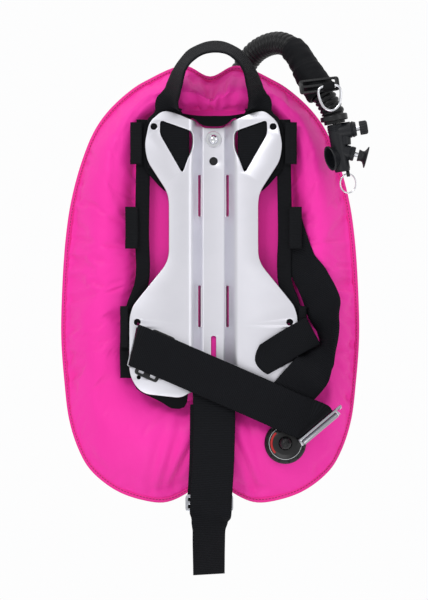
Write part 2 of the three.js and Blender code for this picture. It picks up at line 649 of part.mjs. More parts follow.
// ---------------------------------------------------------------- corrugated hose
const hoseRoute = [
  [33, 55, 206], [33, 55, 215], [35.5, 54, 226], [41.5, 50, 236], [50, 43.5, 246], [60, 35.5, 252.5],
  [71, 26, 256], [81, 16, 256], [91, 6, 251.5], [100, -4, 242.5], [107.8, -14, 229.5],
  [115.2, -22, 215.5], [123.8, -28.5, 201.5], [134, -32, 186.5], [142.2, -33.4, 171], [144.8, -33.5, 157.5],
];
const hoseCurve = new THREE.CatmullRomCurve3(hoseRoute.map((p) => V(...p)), false, 'centripetal');
add('hose', sweep(circle(hoseDiameter / 2, 12), hoseCurve, 22), looks.hose);

// A curve that follows part of the hose, from one share of its length to another.
function hoseStretch(from, to) {
  const points = [];
  for (let i = 0; i <= 8; i++) points.push(hoseCurve.getPointAt(THREE.MathUtils.lerp(from, to, i / 8)));
  return new THREE.CatmullRomCurve3(points);
}
const sleeveFrom = 0.5; // shares of the hose's length
const sleeveTo = 0.825;
const sleeveGap = 0.7;
function hoseCollar(from, to, steps, thickness, clearance) {
  const shape = circle(hoseDiameter / 2 + clearance + thickness, 14);
  shape.holes.push(circle(hoseDiameter / 2 + clearance, 14));
  return sweep(shape, hoseStretch(from, to), steps);
}
add('hose_sleeve', hoseCollar(sleeveFrom, sleeveTo, 6, sleeveThickness, sleeveGap), looks.webbing);
add('hose_tie', hoseCollar(0.955, 0.985, 2, 1.6, 0.7), looks.plastic);

// Elbow on the rear shell: a flange, a short riser and the mouth that the hose leaves.
const elbowX = 33;
const elbowZ = 188;
const elbowRadius = 13;
function hoseElbow() {
  const reach = [-12, -6, 0, 6, 12, 18];
  const seat = Math.max(...reach.map((z) => wingSurface(elbowX, elbowZ + z, 1, rearBulge))) + gap;
  const [, startY, startZ] = hoseRoute[0];
  const flange = discY(18, seat, seat + 3, elbowX, elbowZ, 20);
  const riser = discY(elbowRadius, seat + 1, startY, elbowX, elbowZ);
  const mouth = new THREE.CylinderGeometry(elbowRadius, elbowRadius, startZ - gap - elbowZ + 6, 16);
  mouth.rotateX(Math.PI / 2);
  mouth.translate(elbowX, startY, (startZ - gap + elbowZ - 6) / 2);
  return join(flange, riser, mouth);
}
add('hose_elbow', hoseElbow(), looks.plastic);

// ---------------------------------------------------------------- triglide and D-ring on the hose sleeve
const clampShare = 0.8;
const clampAt = hoseCurve.getPointAt(clampShare);
const clampAlong = hoseCurve.getTangentAt(clampShare);
const clamp = new THREE.Group();
clamp.position.copy(clampAt);
const clampAcross = V(1, 0, 0.12).normalize(); // its left end hangs a little lower
const clampFront = clampAcross.clone().cross(clampAlong).normalize();
const clampUp = clampAcross.clone().cross(clampFront);
clamp.setRotationFromMatrix(new THREE.Matrix4().makeBasis(clampAcross, clampFront, clampUp));
part.add(clamp);
const sleeveRadius = hoseDiameter / 2 + sleeveGap + sleeveThickness;
const frontSide = clampFront.y < 0 ? 1 : -1;
const triglideThickness = 3;
const triglideY = frontSide * (sleeveRadius + 2 * gap + triglideThickness / 2);
const triglide = slotted(48, 17, triglideThickness, [[38, 4.5, 3.6], [38, 4.5, -3.6]]);
triglide.translate(0, triglideY, 0);
add('hose_triglide', triglide, looks.plastic, clamp);

// A webbing tab on the triglide holds the D-ring's straight side; the ring hangs below it.
const dRingHalf = 13;
const dRingWire = 1.9;
const tabHalf = 4.6;
const tabLength = 14;
const tabX = 11;
const tabZ = -4.5;
const tabY = triglideY + frontSide * (triglideThickness / 2 + gap + tabHalf);
const square = (half) => [[-half, -half], [half, -half], [half, half], [-half, half]];
const tab = roundedShape(square(tabHalf), 2.5);
tab.holes.push(roundedShape(square(dRingWire + 2 * gap), 1));
const tabGeometry = new THREE.ExtrudeGeometry(
  tab, { depth: tabLength, bevelEnabled: false, curveSegments: 2 });
tabGeometry.rotateY(Math.PI / 2);
tabGeometry.translate(tabX - tabLength / 2, tabY, tabZ);
add('d_ring_tab', tabGeometry, looks.webbing, clamp);

function dRing() {
  const points = [V(-dRingHalf + 3, 0, 0), V(0, 0, 0), V(dRingHalf - 3, 0, 0), V(dRingHalf, 0, -3),
    V(dRingHalf - 0.6, 0, -15), V(dRingHalf - 5, 0, -25), V(0, 0, -29), V(-dRingHalf + 5, 0, -25),
    V(-dRingHalf + 0.6, 0, -15), V(-dRingHalf, 0, -3)];
  return wireLoop(new THREE.CatmullRomCurve3(points, true, 'centripetal'), dRingWire, 28, 6);
}
clamp.updateMatrixWorld(true);
const ringAcross = V(1, 0, 0).transformDirection(clamp.matrixWorld);
const ringUp = V(0, 0, 1).addScaledVector(ringAcross, -ringAcross.z).normalize();
const ringHolder = new THREE.Group();
ringHolder.position.copy(V(tabX, tabY, tabZ).applyMatrix4(clamp.matrixWorld));
ringHolder.setRotationFromMatrix(
  new THREE.Matrix4().makeBasis(ringAcross, ringUp.clone().cross(ringAcross), ringUp));
part.add(ringHolder);
add('d_ring', dRing(), looks.chrome, ringHolder);

// ---------------------------------------------------------------- power inflator
const inflator = new THREE.Group();
const hoseEnd = hoseCurve.getPointAt(1);
inflator.position.copy(hoseEnd);
inflator.rotation.y = -0.16; // the body leans with the hose's end
part.add(inflator);
const bodyBottom = -56;
const valveZ = -10;
const ventZ = -32;
const ventTilt = 0.42;
const valveHousing = 9.8;
const ventHousing = 8.6;
const valveFace = 24; // outer faces of the two housings, along their axes
const ventFace = 19;
const stemRadius = 3;
const stemBore = stemRadius + gap;
const boreDepth = 13;
const ringX = 6;
const ringZ = bodyBottom - 5.5;
const ventAxis = V(Math.cos(ventTilt), 0, -Math.sin(ventTilt));
const onVent = (distance) => V(0, 0, ventZ).addScaledVector(ventAxis, distance);
const along = (geometry, turn, x, z) => geometry.rotateZ(-Math.PI / 2).rotateY(turn).translate(x, 0, z);

function inflatorBody() {
  const barrel = new THREE.CylinderGeometry(inflatorTube, inflatorTube, -bodyBottom - 0.4, 20);
  barrel.rotateX(Math.PI / 2);
  barrel.translate(0, 0, (bodyBottom - 0.4) / 2);
  const valve = along(turnedSolid([[0, 0], [valveHousing, 0], [valveHousing, valveFace - 6],
    [valveHousing - 3, valveFace - 2], [0, valveFace - 2]]),
    0, 2, valveZ);
  const vent = along(turnedSolid([[0, 0], [ventHousing, 0], [ventHousing, ventFace], [0, ventFace]]),
    ventTilt, 0, ventZ);
  const mouth = along(turnedSolid([[0, 0], [9, 0], [10, 13], [0, 13]]), Math.PI - 0.5, 0, -37);
  mouth.scale(1, 0.9, 1.25);
  mouth.translate(0, -5, 7.5);
  const bore = along(turnedSolid([[0, 2], [7, 2], [8.2, 20], [0, 20]]), Math.PI - 0.5, 0, -37);
  bore.scale(1, 0.9, 1.25);
  bore.translate(0, -5, 7.5);
  const foot = new THREE.CylinderGeometry(inflatorTube - 1, inflatorTube, 4, 20);
  foot.rotateX(Math.PI / 2);
  foot.translate(0, 0, bodyBottom - 1.5);
  const lug = box(4, 6, 9, ringX, 0, ringZ + 1.5);
  const eye = new THREE.CylinderGeometry(1.8, 1.8, 20, 12).rotateZ(Math.PI / 2).translate(ringX, 0, ringZ);
  const valveBore = along(turnedSolid([[0, 0], [stemBore, 0], [stemBore, 20], [0, 20]], 12), 0,
    valveFace - boreDepth, valveZ);
  const ventBore = along(turnedSolid([[0, 0], [stemBore, 0], [stemBore, 20], [0, 20]], 12), ventTilt,
    onVent(ventFace - boreDepth).x, onVent(ventFace - boreDepth).z);
  return cut(join(barrel, valve, vent, mouth, foot, lug), bore, eye, valveBore, ventBore);
}
add('inflator_body', inflatorBody(), looks.plastic, inflator);

const pressed = gap + buttonTravel; // how far a button stands off its housing
const cap = turnedSolid([[0, 0], [8.4, 0], [8.4, 8], [6.5, 9.5], [0, 9.5]], 18);
add('inflate_button', along(cap, 0, valveFace + pressed, valveZ), looks.rubber, inflator);
const ventCap = turnedSolid([[0, 0], [7.2, 0], [6.2, 4], [6.6, 6.5], [13, 9.5], [13, 11], [0, 11]]);
const ventCapAt = onVent(ventFace + pressed);
add('deflate_button', along(ventCap, ventTilt, ventCapAt.x, ventCapAt.z), looks.rubber, inflator);
const stemInside = 2.5;
for (const [name, turn, face, at] of [['inflate', 0, valveFace, (d) => V(d, 0, valveZ)],
  ['deflate', ventTilt, ventFace, onVent]]) {
  const length = stemInside + pressed - gap;
  const start = at(face - stemInside);
  const stem = turnedSolid([[0, 0], [stemRadius, 0], [stemRadius, length], [0, length]], 12);
  add(`${name}_stem`, along(stem, turn, start.x, start.z), looks.chrome, inflator);
  const springLength = 4;
  const springAt = at(face - stemInside - springLength - 1.2);
  const spring = coil(2.2, 0.4, springLength, 2.5, 0, 0, 0);
  add(`${name}_spring`, along(spring, turn, springAt.x, springAt.z), looks.chrome, inflator);
}

const ringRadius = 9.5;
const ringWire = 1.1;
const ring = wireLoop(new THREE.CatmullRomCurve3([...Array(16).keys()].map((i) => {
  const angle = (i / 16) * 2 * Math.PI;
  return V(ringRadius * Math.sin(angle), 0, (ringRadius + 2) * (Math.cos(angle) - 1));
}), true), ringWire, 24, 6);
const ringMesh = add('inflator_ring', ring, looks.chrome, inflator);
ringMesh.position.set(ringX, 0, ringZ);
ringMesh.rotation.y = 0.16;

// ---------------------------------------------------------------- dump valve
const dump = new THREE.Group();
dump.position.set(dumpX, wingSurface(dumpX, dumpZ, -1, frontBulge) - 2 * gap, dumpZ);
dump.rotation.x = Math.PI; // local +Y points toward the diver
part.add(dump);
const seatTop = 3;
add('dump_valve_body', turned([[dumpBore, -20], [dumpSpigot, -20], [dumpSpigot, 0], [dumpRadius, 0],
  [dumpRadius, seatTop], [dumpBore, seatTop]], 24), looks.plastic, dump);
add('dump_valve_nut', turned([[dumpSpigot + gap, -19.7], [dumpSpigot + 6, -19.7], [dumpSpigot + 6, -16.7],
  [dumpSpigot + gap, -16.7]], 18), looks.plastic, dump);
const coverBase = seatTop + gap;
add('dump_valve_cover', turned([[dumpRadius - 2.5, coverBase], [dumpRadius - 0.5, coverBase],
  [dumpRadius - 0.5, coverBase + 2], [dumpRadius - 4.5, coverBase + 6], [14, coverBase + 8.6],
  [7.6, coverBase + 8.6], [7.6, coverBase + 7], [13.4, coverBase + 7], [dumpRadius - 6.5, coverBase + 4.6],
  [dumpRadius - 2.5, coverBase + 1.4]], 24), looks.plastic, dump);
add('dump_diaphragm', turned([
  [2 + gap, coverBase], [dumpBore + 2.5, coverBase],
  [dumpBore + 2.5, coverBase + 1.2], [2 + gap, coverBase + 1.2]], 16), looks.rubber, dump);
const ballCentre = coverBase + 16;
const ballRadius = 7;
const knobProfile = [[0, coverBase], [2, coverBase], [2, ballCentre - ballRadius + 0.4]];
for (let i = 1; i <= 6; i++) {
  const angle = -Math.PI / 2 + 0.3 + (i / 6) * (Math.PI - 0.3);
  knobProfile.push([i < 6 ? ballRadius * Math.cos(angle) : 0, ballCentre + ballRadius * Math.sin(angle)]);
}
add('dump_knob', turnedSolid(knobProfile, 14), looks.plastic, dump);
const springBase = coverBase + 1.2 + gap + 0.5;
add('dump_spring', coil(4.6, 0.5, 4.2, 3, 0, springBase, 0), looks.chrome, dump);

export default part;
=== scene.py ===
"""Looks of the backplate-and-wing buoyancy compensator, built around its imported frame.

Stations and outlines are in millimetres, as in the part's source; meshes are made in metres.
"""
import json
import math

import bmesh
import bpy
import numpy as np
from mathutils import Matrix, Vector, geometry, noise


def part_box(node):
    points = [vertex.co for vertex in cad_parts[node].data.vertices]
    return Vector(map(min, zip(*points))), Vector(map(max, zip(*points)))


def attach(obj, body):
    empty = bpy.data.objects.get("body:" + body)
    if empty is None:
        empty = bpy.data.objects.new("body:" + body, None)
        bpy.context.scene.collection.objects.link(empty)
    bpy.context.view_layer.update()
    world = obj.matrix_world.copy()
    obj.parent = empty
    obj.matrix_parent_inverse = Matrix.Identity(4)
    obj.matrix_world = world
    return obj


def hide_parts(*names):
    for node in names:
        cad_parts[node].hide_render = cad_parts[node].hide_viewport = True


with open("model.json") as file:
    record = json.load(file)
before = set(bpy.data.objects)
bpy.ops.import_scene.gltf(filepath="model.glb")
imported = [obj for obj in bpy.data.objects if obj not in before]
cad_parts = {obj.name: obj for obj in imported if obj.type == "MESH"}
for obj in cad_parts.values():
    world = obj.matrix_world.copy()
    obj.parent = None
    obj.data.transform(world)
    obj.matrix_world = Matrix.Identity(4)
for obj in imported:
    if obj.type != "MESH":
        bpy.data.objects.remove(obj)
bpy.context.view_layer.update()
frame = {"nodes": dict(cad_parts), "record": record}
MM = 0.001
CAD = frame["nodes"]
WELD = 2e-6  # corners of a CAD mesh closer than this, in metres, are one


# ---------- curves
def catmull(points, closed=False):
    """A centripetal Catmull-Rom curve through the points, as a function of 0..1."""
    pts = np.array(points, float)
    n = len(pts)

    def at(t):
        spans = n if closed else n - 1
        p = min(max(t, 0.0), 1.0) * spans
        i = min(int(p), spans - 1)
        w = p - i
        if closed:
            p0, p1, p2, p3 = (pts[(i + k) % n] for k in (-1, 0, 1, 2))
        else:
            p1, p2 = pts[i], pts[i + 1]
            p0 = pts[i - 1] if i > 0 else 2 * p1 - p2
            p3 = pts[i + 2] if i + 2 < n else 2 * p2 - p1
        d0, d1, d2 = (max(np.linalg.norm(b - a), 1e-9) ** 0.5 for a, b in ((p0, p1), (p1, p2), (p2, p3)))
        t1 = ((p1 - p0) / d0 - (p2 - p0) / (d0 + d1) + (p2 - p1) / d1) * d1
        t2 = ((p2 - p1) / d1 - (p3 - p1) / (d1 + d2) + (p3 - p2) / d2) * d1
        return p1 + t1 * w + (3 * (p2 - p1) - 2 * t1 - t2) * w**2 + (2 * (p1 - p2) + t1 + t2) * w**3

    return at


def even(at, step, closed=False, fine=1200):
    """Points at an even distance along a curve, with the curve's parameter and the run at each."""
    ts = np.linspace(0, 1, fine + 1)
    pts = np.array([at(t) for t in ts])
    run = np.concatenate([[0], np.cumsum(np.linalg.norm(np.diff(pts, axis=0), axis=1))])
    count = max(2, int(round(run[-1] / step)))
    wanted = np.linspace(0, run[-1], count + 1)
    if closed:
        wanted = wanted[:-1]
    found = np.interp(wanted, run, ts)
    return np.array([at(t) for t in found]), found, wanted


def unit(v):
    return v / np.linalg.norm(v, axis=-1, keepdims=True)


def smooth_step(w):
    return w * w * (3 - 2 * w)


def turn(count):
    """Angles evenly round a circle."""
    return np.arange(count) / count * 2 * math.pi


def rough(x, y, z):
    """Smooth noise between -1 and 1."""
    return noise.noise(Vector((x, y, z)))


# ---------- meshes
def linked(name, data):
    """A new object in the scene."""
    obj = bpy.data.objects.new(name, data)
    bpy.context.scene.collection.objects.link(obj)
    return obj


def mesh_object(name, points, faces, uvs):
    """A smooth mesh from points in millimetres; uvs holds one pair for each corner of each face."""
    mesh = bpy.data.meshes.new(name)
    mesh.from_pydata([tuple(p) for p in np.asarray(points) * MM], [], [list(f) for f in faces])
    layer = mesh.uv_layers.new(name="UVMap")
    layer.data.foreach_set("uv", np.array(uvs, float).reshape(-1))
    mesh.validate()
    mesh.shade_smooth()
    return linked(name, mesh)


def joined(objects, name):
    """One object made of several."""
    with bpy.context.temp_override(active_object=objects[0], selected_editable_objects=objects):
        bpy.ops.object.join()
    objects[0].name = name
    return objects[0]


def fix_normals(obj):
    bm = bmesh.new()
    bm.from_mesh(obj.data)
    bmesh.ops.recalc_face_normals(bm, faces=bm.faces)
    bm.to_mesh(obj.data)
    bm.free()


def place(obj, material, slot, *nodes, body="vest"):
    """Gives the piece its finish and has it stand for CAD nodes."""
    obj.data.materials.clear()
    obj.data.materials.append(material)
    if nodes:
        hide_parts(*nodes)
    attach(obj, body)
    return obj


def lofted(name, rings, closed=False, us=None, vs=None):
    """A skin over equal rings of points, capped if not closed. us runs along it and vs around it."""
    rings = np.array(rings, float)
    m, n = rings.shape[:2]
    us = np.arange(m) if us is None else us
    vs = np.linspace(0, 1, n + 1) if vs is None else vs
    faces, uvs = [], []
    for i in range(m if closed else m - 1):
        a, b = i, (i + 1) % m
        ub = us[b] if b > i else us[i] + (us[1] - us[0])
        for j in range(n):
            k = (j + 1) % n
            faces.append((a * n + j, a * n + k, b * n + k, b * n + j))
            uvs += [(us[a], vs[j]), (us[a], vs[j + 1]), (ub, vs[j + 1]), (ub, vs[j])]
    if not closed:
        for start, order in ((0, range(n - 1, -1, -1)), ((m - 1) * n, range(n))):
            faces.append([start + j for j in order])
            uvs += [(us[0 if start == 0 else -1], 0.0)] * n
    obj = mesh_object(name, rings.reshape(-1, 3), faces, uvs)
    fix_normals(obj)
    return obj


WEBBING_THICK = 2.4


def ribbon(name, stations, width, step=2.0, across_steps=8, wave=0.0, seed=0.0):
    """Webbing with rounded edges and UVs in metres.

    A station is [x, y, z, wx, wy, wz, share of the width], where w points across the webbing.
    """
    st = np.array([list(p) + [1.0] * (7 - len(p)) for p in stations], float)
    at = catmull(st[:, :3])
    middles, ts, run = even(at, step)

    def across(t):
        p = min(t * (len(st) - 1), len(st) - 1.000001)
        i = int(p)
        return st[i, 3:] + (st[i + 1, 3:] - st[i, 3:]) * smooth_step(p - i)

    half, h = width / 2, WEBBING_THICK / 2
    lanes = np.linspace(-1, 1, across_steps + 1) * (half - 0.9)
    edge = [(half - 0.35, 0.72 * h), (half, 0.0), (half - 0.35, -0.72 * h)]
    profile = [(w, h) for w in lanes] + edge
    profile += [(w, -h) for w in lanes[::-1]] + [(-w, n) for w, n in edge[::-1]]
    vs = [(p[0] + half) * MM for p in profile]
    vs.append(vs[0])
    rings = []
    for i, (m, t) in enumerate(zip(middles, ts)):
        tangent = unit(at(min(t + 1e-4, 1)) - at(max(t - 1e-4, 0)))
        turned = across(t)
        normal = unit(np.cross(tangent, turned[:3]))
        side = np.cross(normal, tangent)
        ring = []
        for w, n in profile:
            lift = wave * rough(run[i] * 0.02, w * 0.03, seed)
            ring.append(m + side * (w * turned[3]) + normal * (n + lift))
        rings.append(ring)
    return lofted(name, rings, us=run * MM, vs=vs)


def lathe(profile, sides=48, centre=(0, 0, 0), axis=(0, 0, 1), name="turned", squash=None, sharp=35):
    """A turned piece from [radius, height] pairs along an axis from a centre."""
    z = unit(np.array(axis, float))
    x = unit(np.cross(z, (0.0, 0.3, 1.0) if abs(z[0]) > 0.5 else (1.0, 0.2, 0.0)))
    y = np.cross(z, x)
    sx, sy = squash or (1, 1)
    rings = []
    for r, h in profile:
        r = max(r, 1e-3)
        rings.append([np.array(centre) + z * h + r * (sx * x * math.cos(a) + sy * y * math.sin(a))
                      for a in turn(sides)])
    obj = lofted(name, rings)
    obj.data.set_sharp_from_angle(angle=math.radians(sharp))
    return obj


def rounded(points, radius, segments=6):
    """Corner points of an outline with each corner rounded by a quadratic curve."""
    pts = [np.array(p, float) for p in points]
    out = []
    for i, corner in enumerate(pts):
        before, after = pts[i - 1], pts[(i + 1) % len(pts)]
        ends = []
        for to in (before, after):
            gone = np.linalg.norm(to - corner)
            ends.append(corner + (to - corner) * min(radius, gone * 0.45) / gone)
        for k in range(segments + 1):
            t = k / segments
            out.append(ends[0] * (1 - t) ** 2 + corner * 2 * t * (1 - t) + ends[1] * t**2)
    return np.array(out)


def circle(radius, x=0.0, y=0.0, sides=32):
    return np.array([(x + radius * math.cos(a), y + radius * math.sin(a))
                     for a in turn(sides)])


def rectangle(w, h, x=0.0, y=0.0, radius=0.0, angle=0.0):
    pts = np.array([(-w / 2, -h / 2), (w / 2, -h / 2), (w / 2, h / 2), (-w / 2, h / 2)])
    if radius:
        pts = rounded(pts, radius)
    c, s = math.cos(angle), math.sin(angle)
    return pts @ np.array([[c, s], [-s, c]]) + (x, y)


def signed_area(loop):
    x, y = loop[:, 0], loop[:, 1]
    return 0.5 * np.sum(x * np.roll(y, -1) - np.roll(x, -1) * y)


def inset(loop, distance):
    """The loop moved to its left by a distance."""
    d = unit(np.roll(loop, -1, 0) - loop)
    n = np.stack([-d[:, 1], d[:, 0]], 1)
    m = n + np.roll(n, 1, 0)
    m /= np.maximum(np.sum(m * np.roll(n, 1, 0), 1, keepdims=True), 0.3)
    return loop + m * distance


def plate_solid(name, outer, holes, thickness, bevel, to_space, cuts):
    """A flat sheet with holes and rounded rims, cut along upright lines and carried into space."""
    loops = [outer if signed_area(outer) > 0 else outer[::-1]]
    loops += [h if signed_area(h) < 0 else h[::-1] for h in holes]
    levels = [(bevel, 0.0), (0.3 * bevel, 0.3 * bevel), (0.0, bevel),
              (0.0, thickness - bevel), (0.3 * bevel, thickness - 0.3 * bevel), (bevel, thickness)]
    verts, faces, caps = [], [], {0: [], len(levels) - 1: []}
    for loop in loops:
        count = len(loop)
        starts = []
        for k, (inward, depth) in enumerate(levels):
            starts.append(len(verts))
            ring = inset(loop, inward)
            verts += [(p[0], depth, p[1]) for p in ring]
            if k in caps:
                caps[k].append((ring, starts[-1]))
        for a, b in zip(starts, starts[1:]):
            faces += [(a + j, a + (j + 1) % count, b + (j + 1) % count, b + j) for j in range(count)]
    for k, parts in caps.items():
        index = [start + j for ring, start in parts for j in range(len(ring))]
        outlines = [[Vector((p[0], p[1], 0)) for p in ring] for ring, _ in parts]
        faces += [[index[t] for t in tri] for tri in geometry.tessellate_polygon(outlines)]
    mesh = bpy.data.meshes.new(name)
    mesh.from_pydata(verts, [], faces)
    bm = bmesh.new()
    bm.from_mesh(mesh)
    for x in cuts:
        geom = bm.verts[:] + bm.edges[:] + bm.faces[:]
        bmesh.ops.bisect_plane(bm, geom=geom, plane_co=(x, 0, 0), plane_no=(1, 0, 0))
    bmesh.ops.remove_doubles(bm, verts=bm.verts, dist=1e-4)
    for v in bm.verts:
        v.co = Vector(to_space(*v.co)) * MM
    bmesh.ops.recalc_face_normals(bm, faces=bm.faces)
    bm.to_mesh(mesh)
    bm.free()
    mesh.shade_smooth()
    mesh.set_sharp_from_angle(angle=math.radians(50))
    return linked(name, mesh)


def tube(name, path, radii, sides=32, closed=False, squash=1.0):
    """A round tube along points, with a radius at each."""
    pts = np.array(path, float)
    tangents = unit(np.roll(pts, -1, 0) - np.roll(pts, 1, 0) if closed else np.gradient(pts, axis=0))
    normal = unit(np.cross(tangents[0], (0.3, 1.0, 0.2)))
    rings = []
    for p, t, r in zip(pts, tangents, np.broadcast_to(radii, len(pts))):
        normal = unit(normal - t * np.dot(normal, t))
        other = np.cross(t, normal)
        rings.append([p + r * (normal * math.cos(a) + squash * other * math.sin(a))
                      for a in turn(sides)])
    return lofted(name, rings, closed=closed)


def dressed(node, material, slot, bevel, body="vest"):
    """A copy of a CAD node with softened edges, which stands for it."""
    softened = math.radians(32)  # edges that turn more than this are bevelled
    obj = linked("look_" + node, CAD[node].data.copy())
    bm = bmesh.new()
    bm.from_mesh(obj.data)
    bmesh.ops.remove_doubles(bm, verts=bm.verts, dist=WELD)
    bmesh.ops.dissolve_limit(bm, angle_limit=math.radians(2), verts=bm.verts, edges=bm.edges)
    sharp = [e for e in bm.edges if len(e.link_faces) == 2 and e.calc_face_angle(0) > softened]
    if sharp:
        bmesh.ops.bevel(bm, geom=sharp, offset=bevel * MM, segments=2, profile=0.5,
                        affect="EDGES", clamp_overlap=True)
    bm.to_mesh(obj.data)
    bm.free()
    obj.data.shade_smooth()
    obj.data.set_sharp_from_angle(angle=math.radians(40))
    return place(obj, material, slot, node, body=body)


# ---------- materials
def linear(colour):
    """An sRGB colour, 0 to 255, as Blender's linear one."""
    shares = [c / 255 for c in colour]
    return tuple(c / 12.92 if c <= 10 / 255 else ((c + 0.055) / 1.055) ** 2.4 for c in shares) + (1.0,)


def principled(name, colour, roughness, metal=0.0, specular=0.5, sheen=0.0):
    mat = bpy.data.materials.new(name)
    mat.use_nodes = True
    tree = mat.node_tree
    shader = tree.nodes["Principled BSDF"]
    for socket, value in (("Base Color", linear(colour)), ("Roughness", roughness), ("Metallic", metal),
                          ("Specular IOR Level", specular), ("Sheen Weight", sheen)):
        shader.inputs[socket].default_value = value
    return mat, tree, shader


def bump(tree, shader, height, distance, strength=1.0, below=None):
    b = tree.nodes.new("ShaderNodeBump")
    b.inputs["Distance"].default_value = distance
    b.inputs["Strength"].default_value = strength
    tree.links.new(height, b.inputs["Height"])
    if below is not None:
        tree.links.new(below.outputs["Normal"], b.inputs["Normal"])
    tree.links.new(b.outputs["Normal"], shader.inputs["Normal"])
    return b


def mixed(tree, factor, a, b):
    """Two colours, each a socket or sRGB numbers, mixed by a factor socket."""
    m = tree.nodes.new("ShaderNodeMix")
    m.data_type = "RGBA"
    tree.links.new(factor, m.inputs["Factor"])
    for socket, value in ((m.inputs["A"], a), (m.inputs["B"], b)):
        if isinstance(value, tuple):
            socket.default_value = linear(value)
        else:
            tree.links.new(value, socket)
    return m.outputs["Result"]


def object_noise(tree, scale, detail=3.0, roughness=0.5, stretch=None):
    coords = tree.nodes.new("ShaderNodeTexCoord").outputs["Object"]
    if stretch:
        mapping = tree.nodes.new("ShaderNodeMapping")
        mapping.inputs["Scale"].default_value = stretch
        tree.links.new(coords, mapping.inputs["Vector"])
        coords = mapping.outputs["Vector"]
    n = tree.nodes.new("ShaderNodeTexNoise")
    for socket, value in (("Scale", scale), ("Detail", detail), ("Roughness", roughness)):
        n.inputs[socket].default_value = value
    tree.links.new(coords, n.inputs["Vector"])
    return n.outputs["Fac"]


def waves(tree, period, along="X"):
    """Even bands of a real pitch in metres, along one direction of the UVs."""
    w = tree.nodes.new("ShaderNodeTexWave")
    w.wave_type = "BANDS"
    w.bands_direction = along
    w.wave_profile = "SIN"
    w.inputs["Scale"].default_value = 2 * math.pi / (20 * period)
    w.inputs["Distortion"].default_value = 0.0
    tree.links.new(tree.nodes.new("ShaderNodeTexCoord").outputs["UV"], w.inputs["Vector"])
    return w.outputs["Fac"]


def maths(tree, operation, *values):
    """A maths node over sockets and numbers."""
    m = tree.nodes.new("ShaderNodeMath")
    m.operation = operation
    for socket, value in zip(m.inputs, values):
        if isinstance(value, float):
            socket.default_value = value
        else:
            tree.links.new(value, socket)
    return m.outputs["Value"]


def webbing_look(name, dark=(5, 6, 8), light=(20, 22, 28), pitch=0.0021):
    mat, tree, shader = principled(name, dark, 0.75, specular=0.14)
    ribs = waves(tree, pitch)
    strands = waves(tree, 0.0016, "Y")
    weave = maths(tree, "MULTIPLY", ribs, strands)
    worn = object_noise(tree, 60, 4, 0.6)
    # painted highlight and shade: the rib crests get the light colour and the troughs the dark one, as light
    # falls on the ribs
    rib_crest_highlight = mixed(tree, ribs, dark, light)
    tree.links.new(mixed(tree, worn, rib_crest_highlight, (10, 11, 15)), shader.inputs["Base Color"])
    first = bump(tree, shader, ribs, 0.0004, 0.8)
    bump(tree, shader, weave, 0.0002, 0.6, first)
    return mat


def nylon_look():
    mat, tree, shader = principled("wing_nylon", (234, 38, 158), 0.52, specular=0.22, sheen=0.12)
    large = object_noise(tree, 9, 3, 0.5)
    tree.links.new(mixed(tree, large, (232, 36, 156), (246, 54, 174)), shader.inputs["Base Color"])
    wrinkle = object_noise(tree, 26, 4, 0.55)
    first = bump(tree, shader, wrinkle, 0.0035, 0.5)
    fine = object_noise(tree, 900, 2, 0.5)
    bump(tree, shader, fine, 0.0002, 0.35, first)
    return mat


def steel_look():
    mat, tree, shader = principled("plate_steel", (236, 236, 242), 0.42, metal=1.0)
    cloud = object_noise(tree, 14, 4, 0.6)
    tree.links.new(mixed(tree, cloud, (216, 216, 224), (232, 231, 238)), shader.inputs["Base Color"])
    grain = object_noise(tree, 700, 3, 0.6, (1.0, 1.0, 0.12))
    bump(tree, shader, grain, 0.0002, 0.12)
    return mat


def plain_look(name, colour, roughness, spec=0.4, grain=0.15, metal=0.0, scale=500):
    mat, tree, shader = principled(name, colour, roughness, metal=metal, specular=spec)
    bump(tree, shader, object_noise(tree, scale, 3, 0.5), 0.0003, grain)
    return mat


# the second colour of each webbing look is the painted highlight on its rib crests
WEBBING = webbing_look("webbing")
SMALL_WEBBING = webbing_look("small_webbing", (9, 10, 12), (21, 22, 27), 0.0016)
PAD = plain_look("pad_fabric", (10, 11, 14), 0.85, 0.12, 0.5, scale=350)
NYLON = nylon_look()
STEEL = steel_look()
HARDWARE = plain_look("worn_steel", (172, 174, 180), 0.34, metal=1.0)
CHROME = principled("bright_steel", (222, 223, 228), 0.16, metal=1.0)[0]
PLASTIC = plain_look("black_plastic", (17, 19, 24), 0.45, 0.3, 0.12)
DARK_PLASTIC = plain_look("dark_plastic", (12, 13, 16), 0.38, 0.4, 0.12)
RUBBER = plain_look("rubber", (19, 20, 24), 0.55, 0.35, 0.2)
HOSE = plain_look("hose_rubber", (9, 10, 13), 0.42, 0.28, 0.15, scale=300)
FILM = principled("bladder_film", (205, 205, 214), 0.4)[0]
SLEEVE = plain_look("sleeve_cloth", (8, 9, 13), 0.7, 0.14, 0.35, scale=420)

SLOT_LOOKS = {
    "plate_steel": STEEL, "bright_steel": CHROME, "wing_nylon": NYLON, "bladder_film": FILM,
    "pad_fabric": PAD, "webbing": WEBBING, "black_plastic": PLASTIC, "rubber": RUBBER, "hose_rubber": HOSE,
}
for part in frame["record"]["subparts"]:
    if part["node"] in CAD:
        finishes = CAD[part["node"]].data.materials
        finishes.clear()
        finishes.append(SLOT_LOOKS[part["material_slot"]])

# ---------- camera
PICTURE_MM = 716.0  # height of the object plane that the picture shows
camera_data = bpy.data.cameras.new("camera")
camera = linked("camera", camera_data)
camera_data.sensor_fit = "VERTICAL"
camera_data.sensor_height = 24
camera_data.lens = 200
DISTANCE = PICTURE_MM * MM * camera_data.lens / camera_data.sensor_height
camera.location = (0.0006, -0.03 - DISTANCE, -0.0528)
camera.rotation_euler = (math.radians(90), 0, 0)
camera_data.clip_end = 30
bpy.context.scene.camera = camera

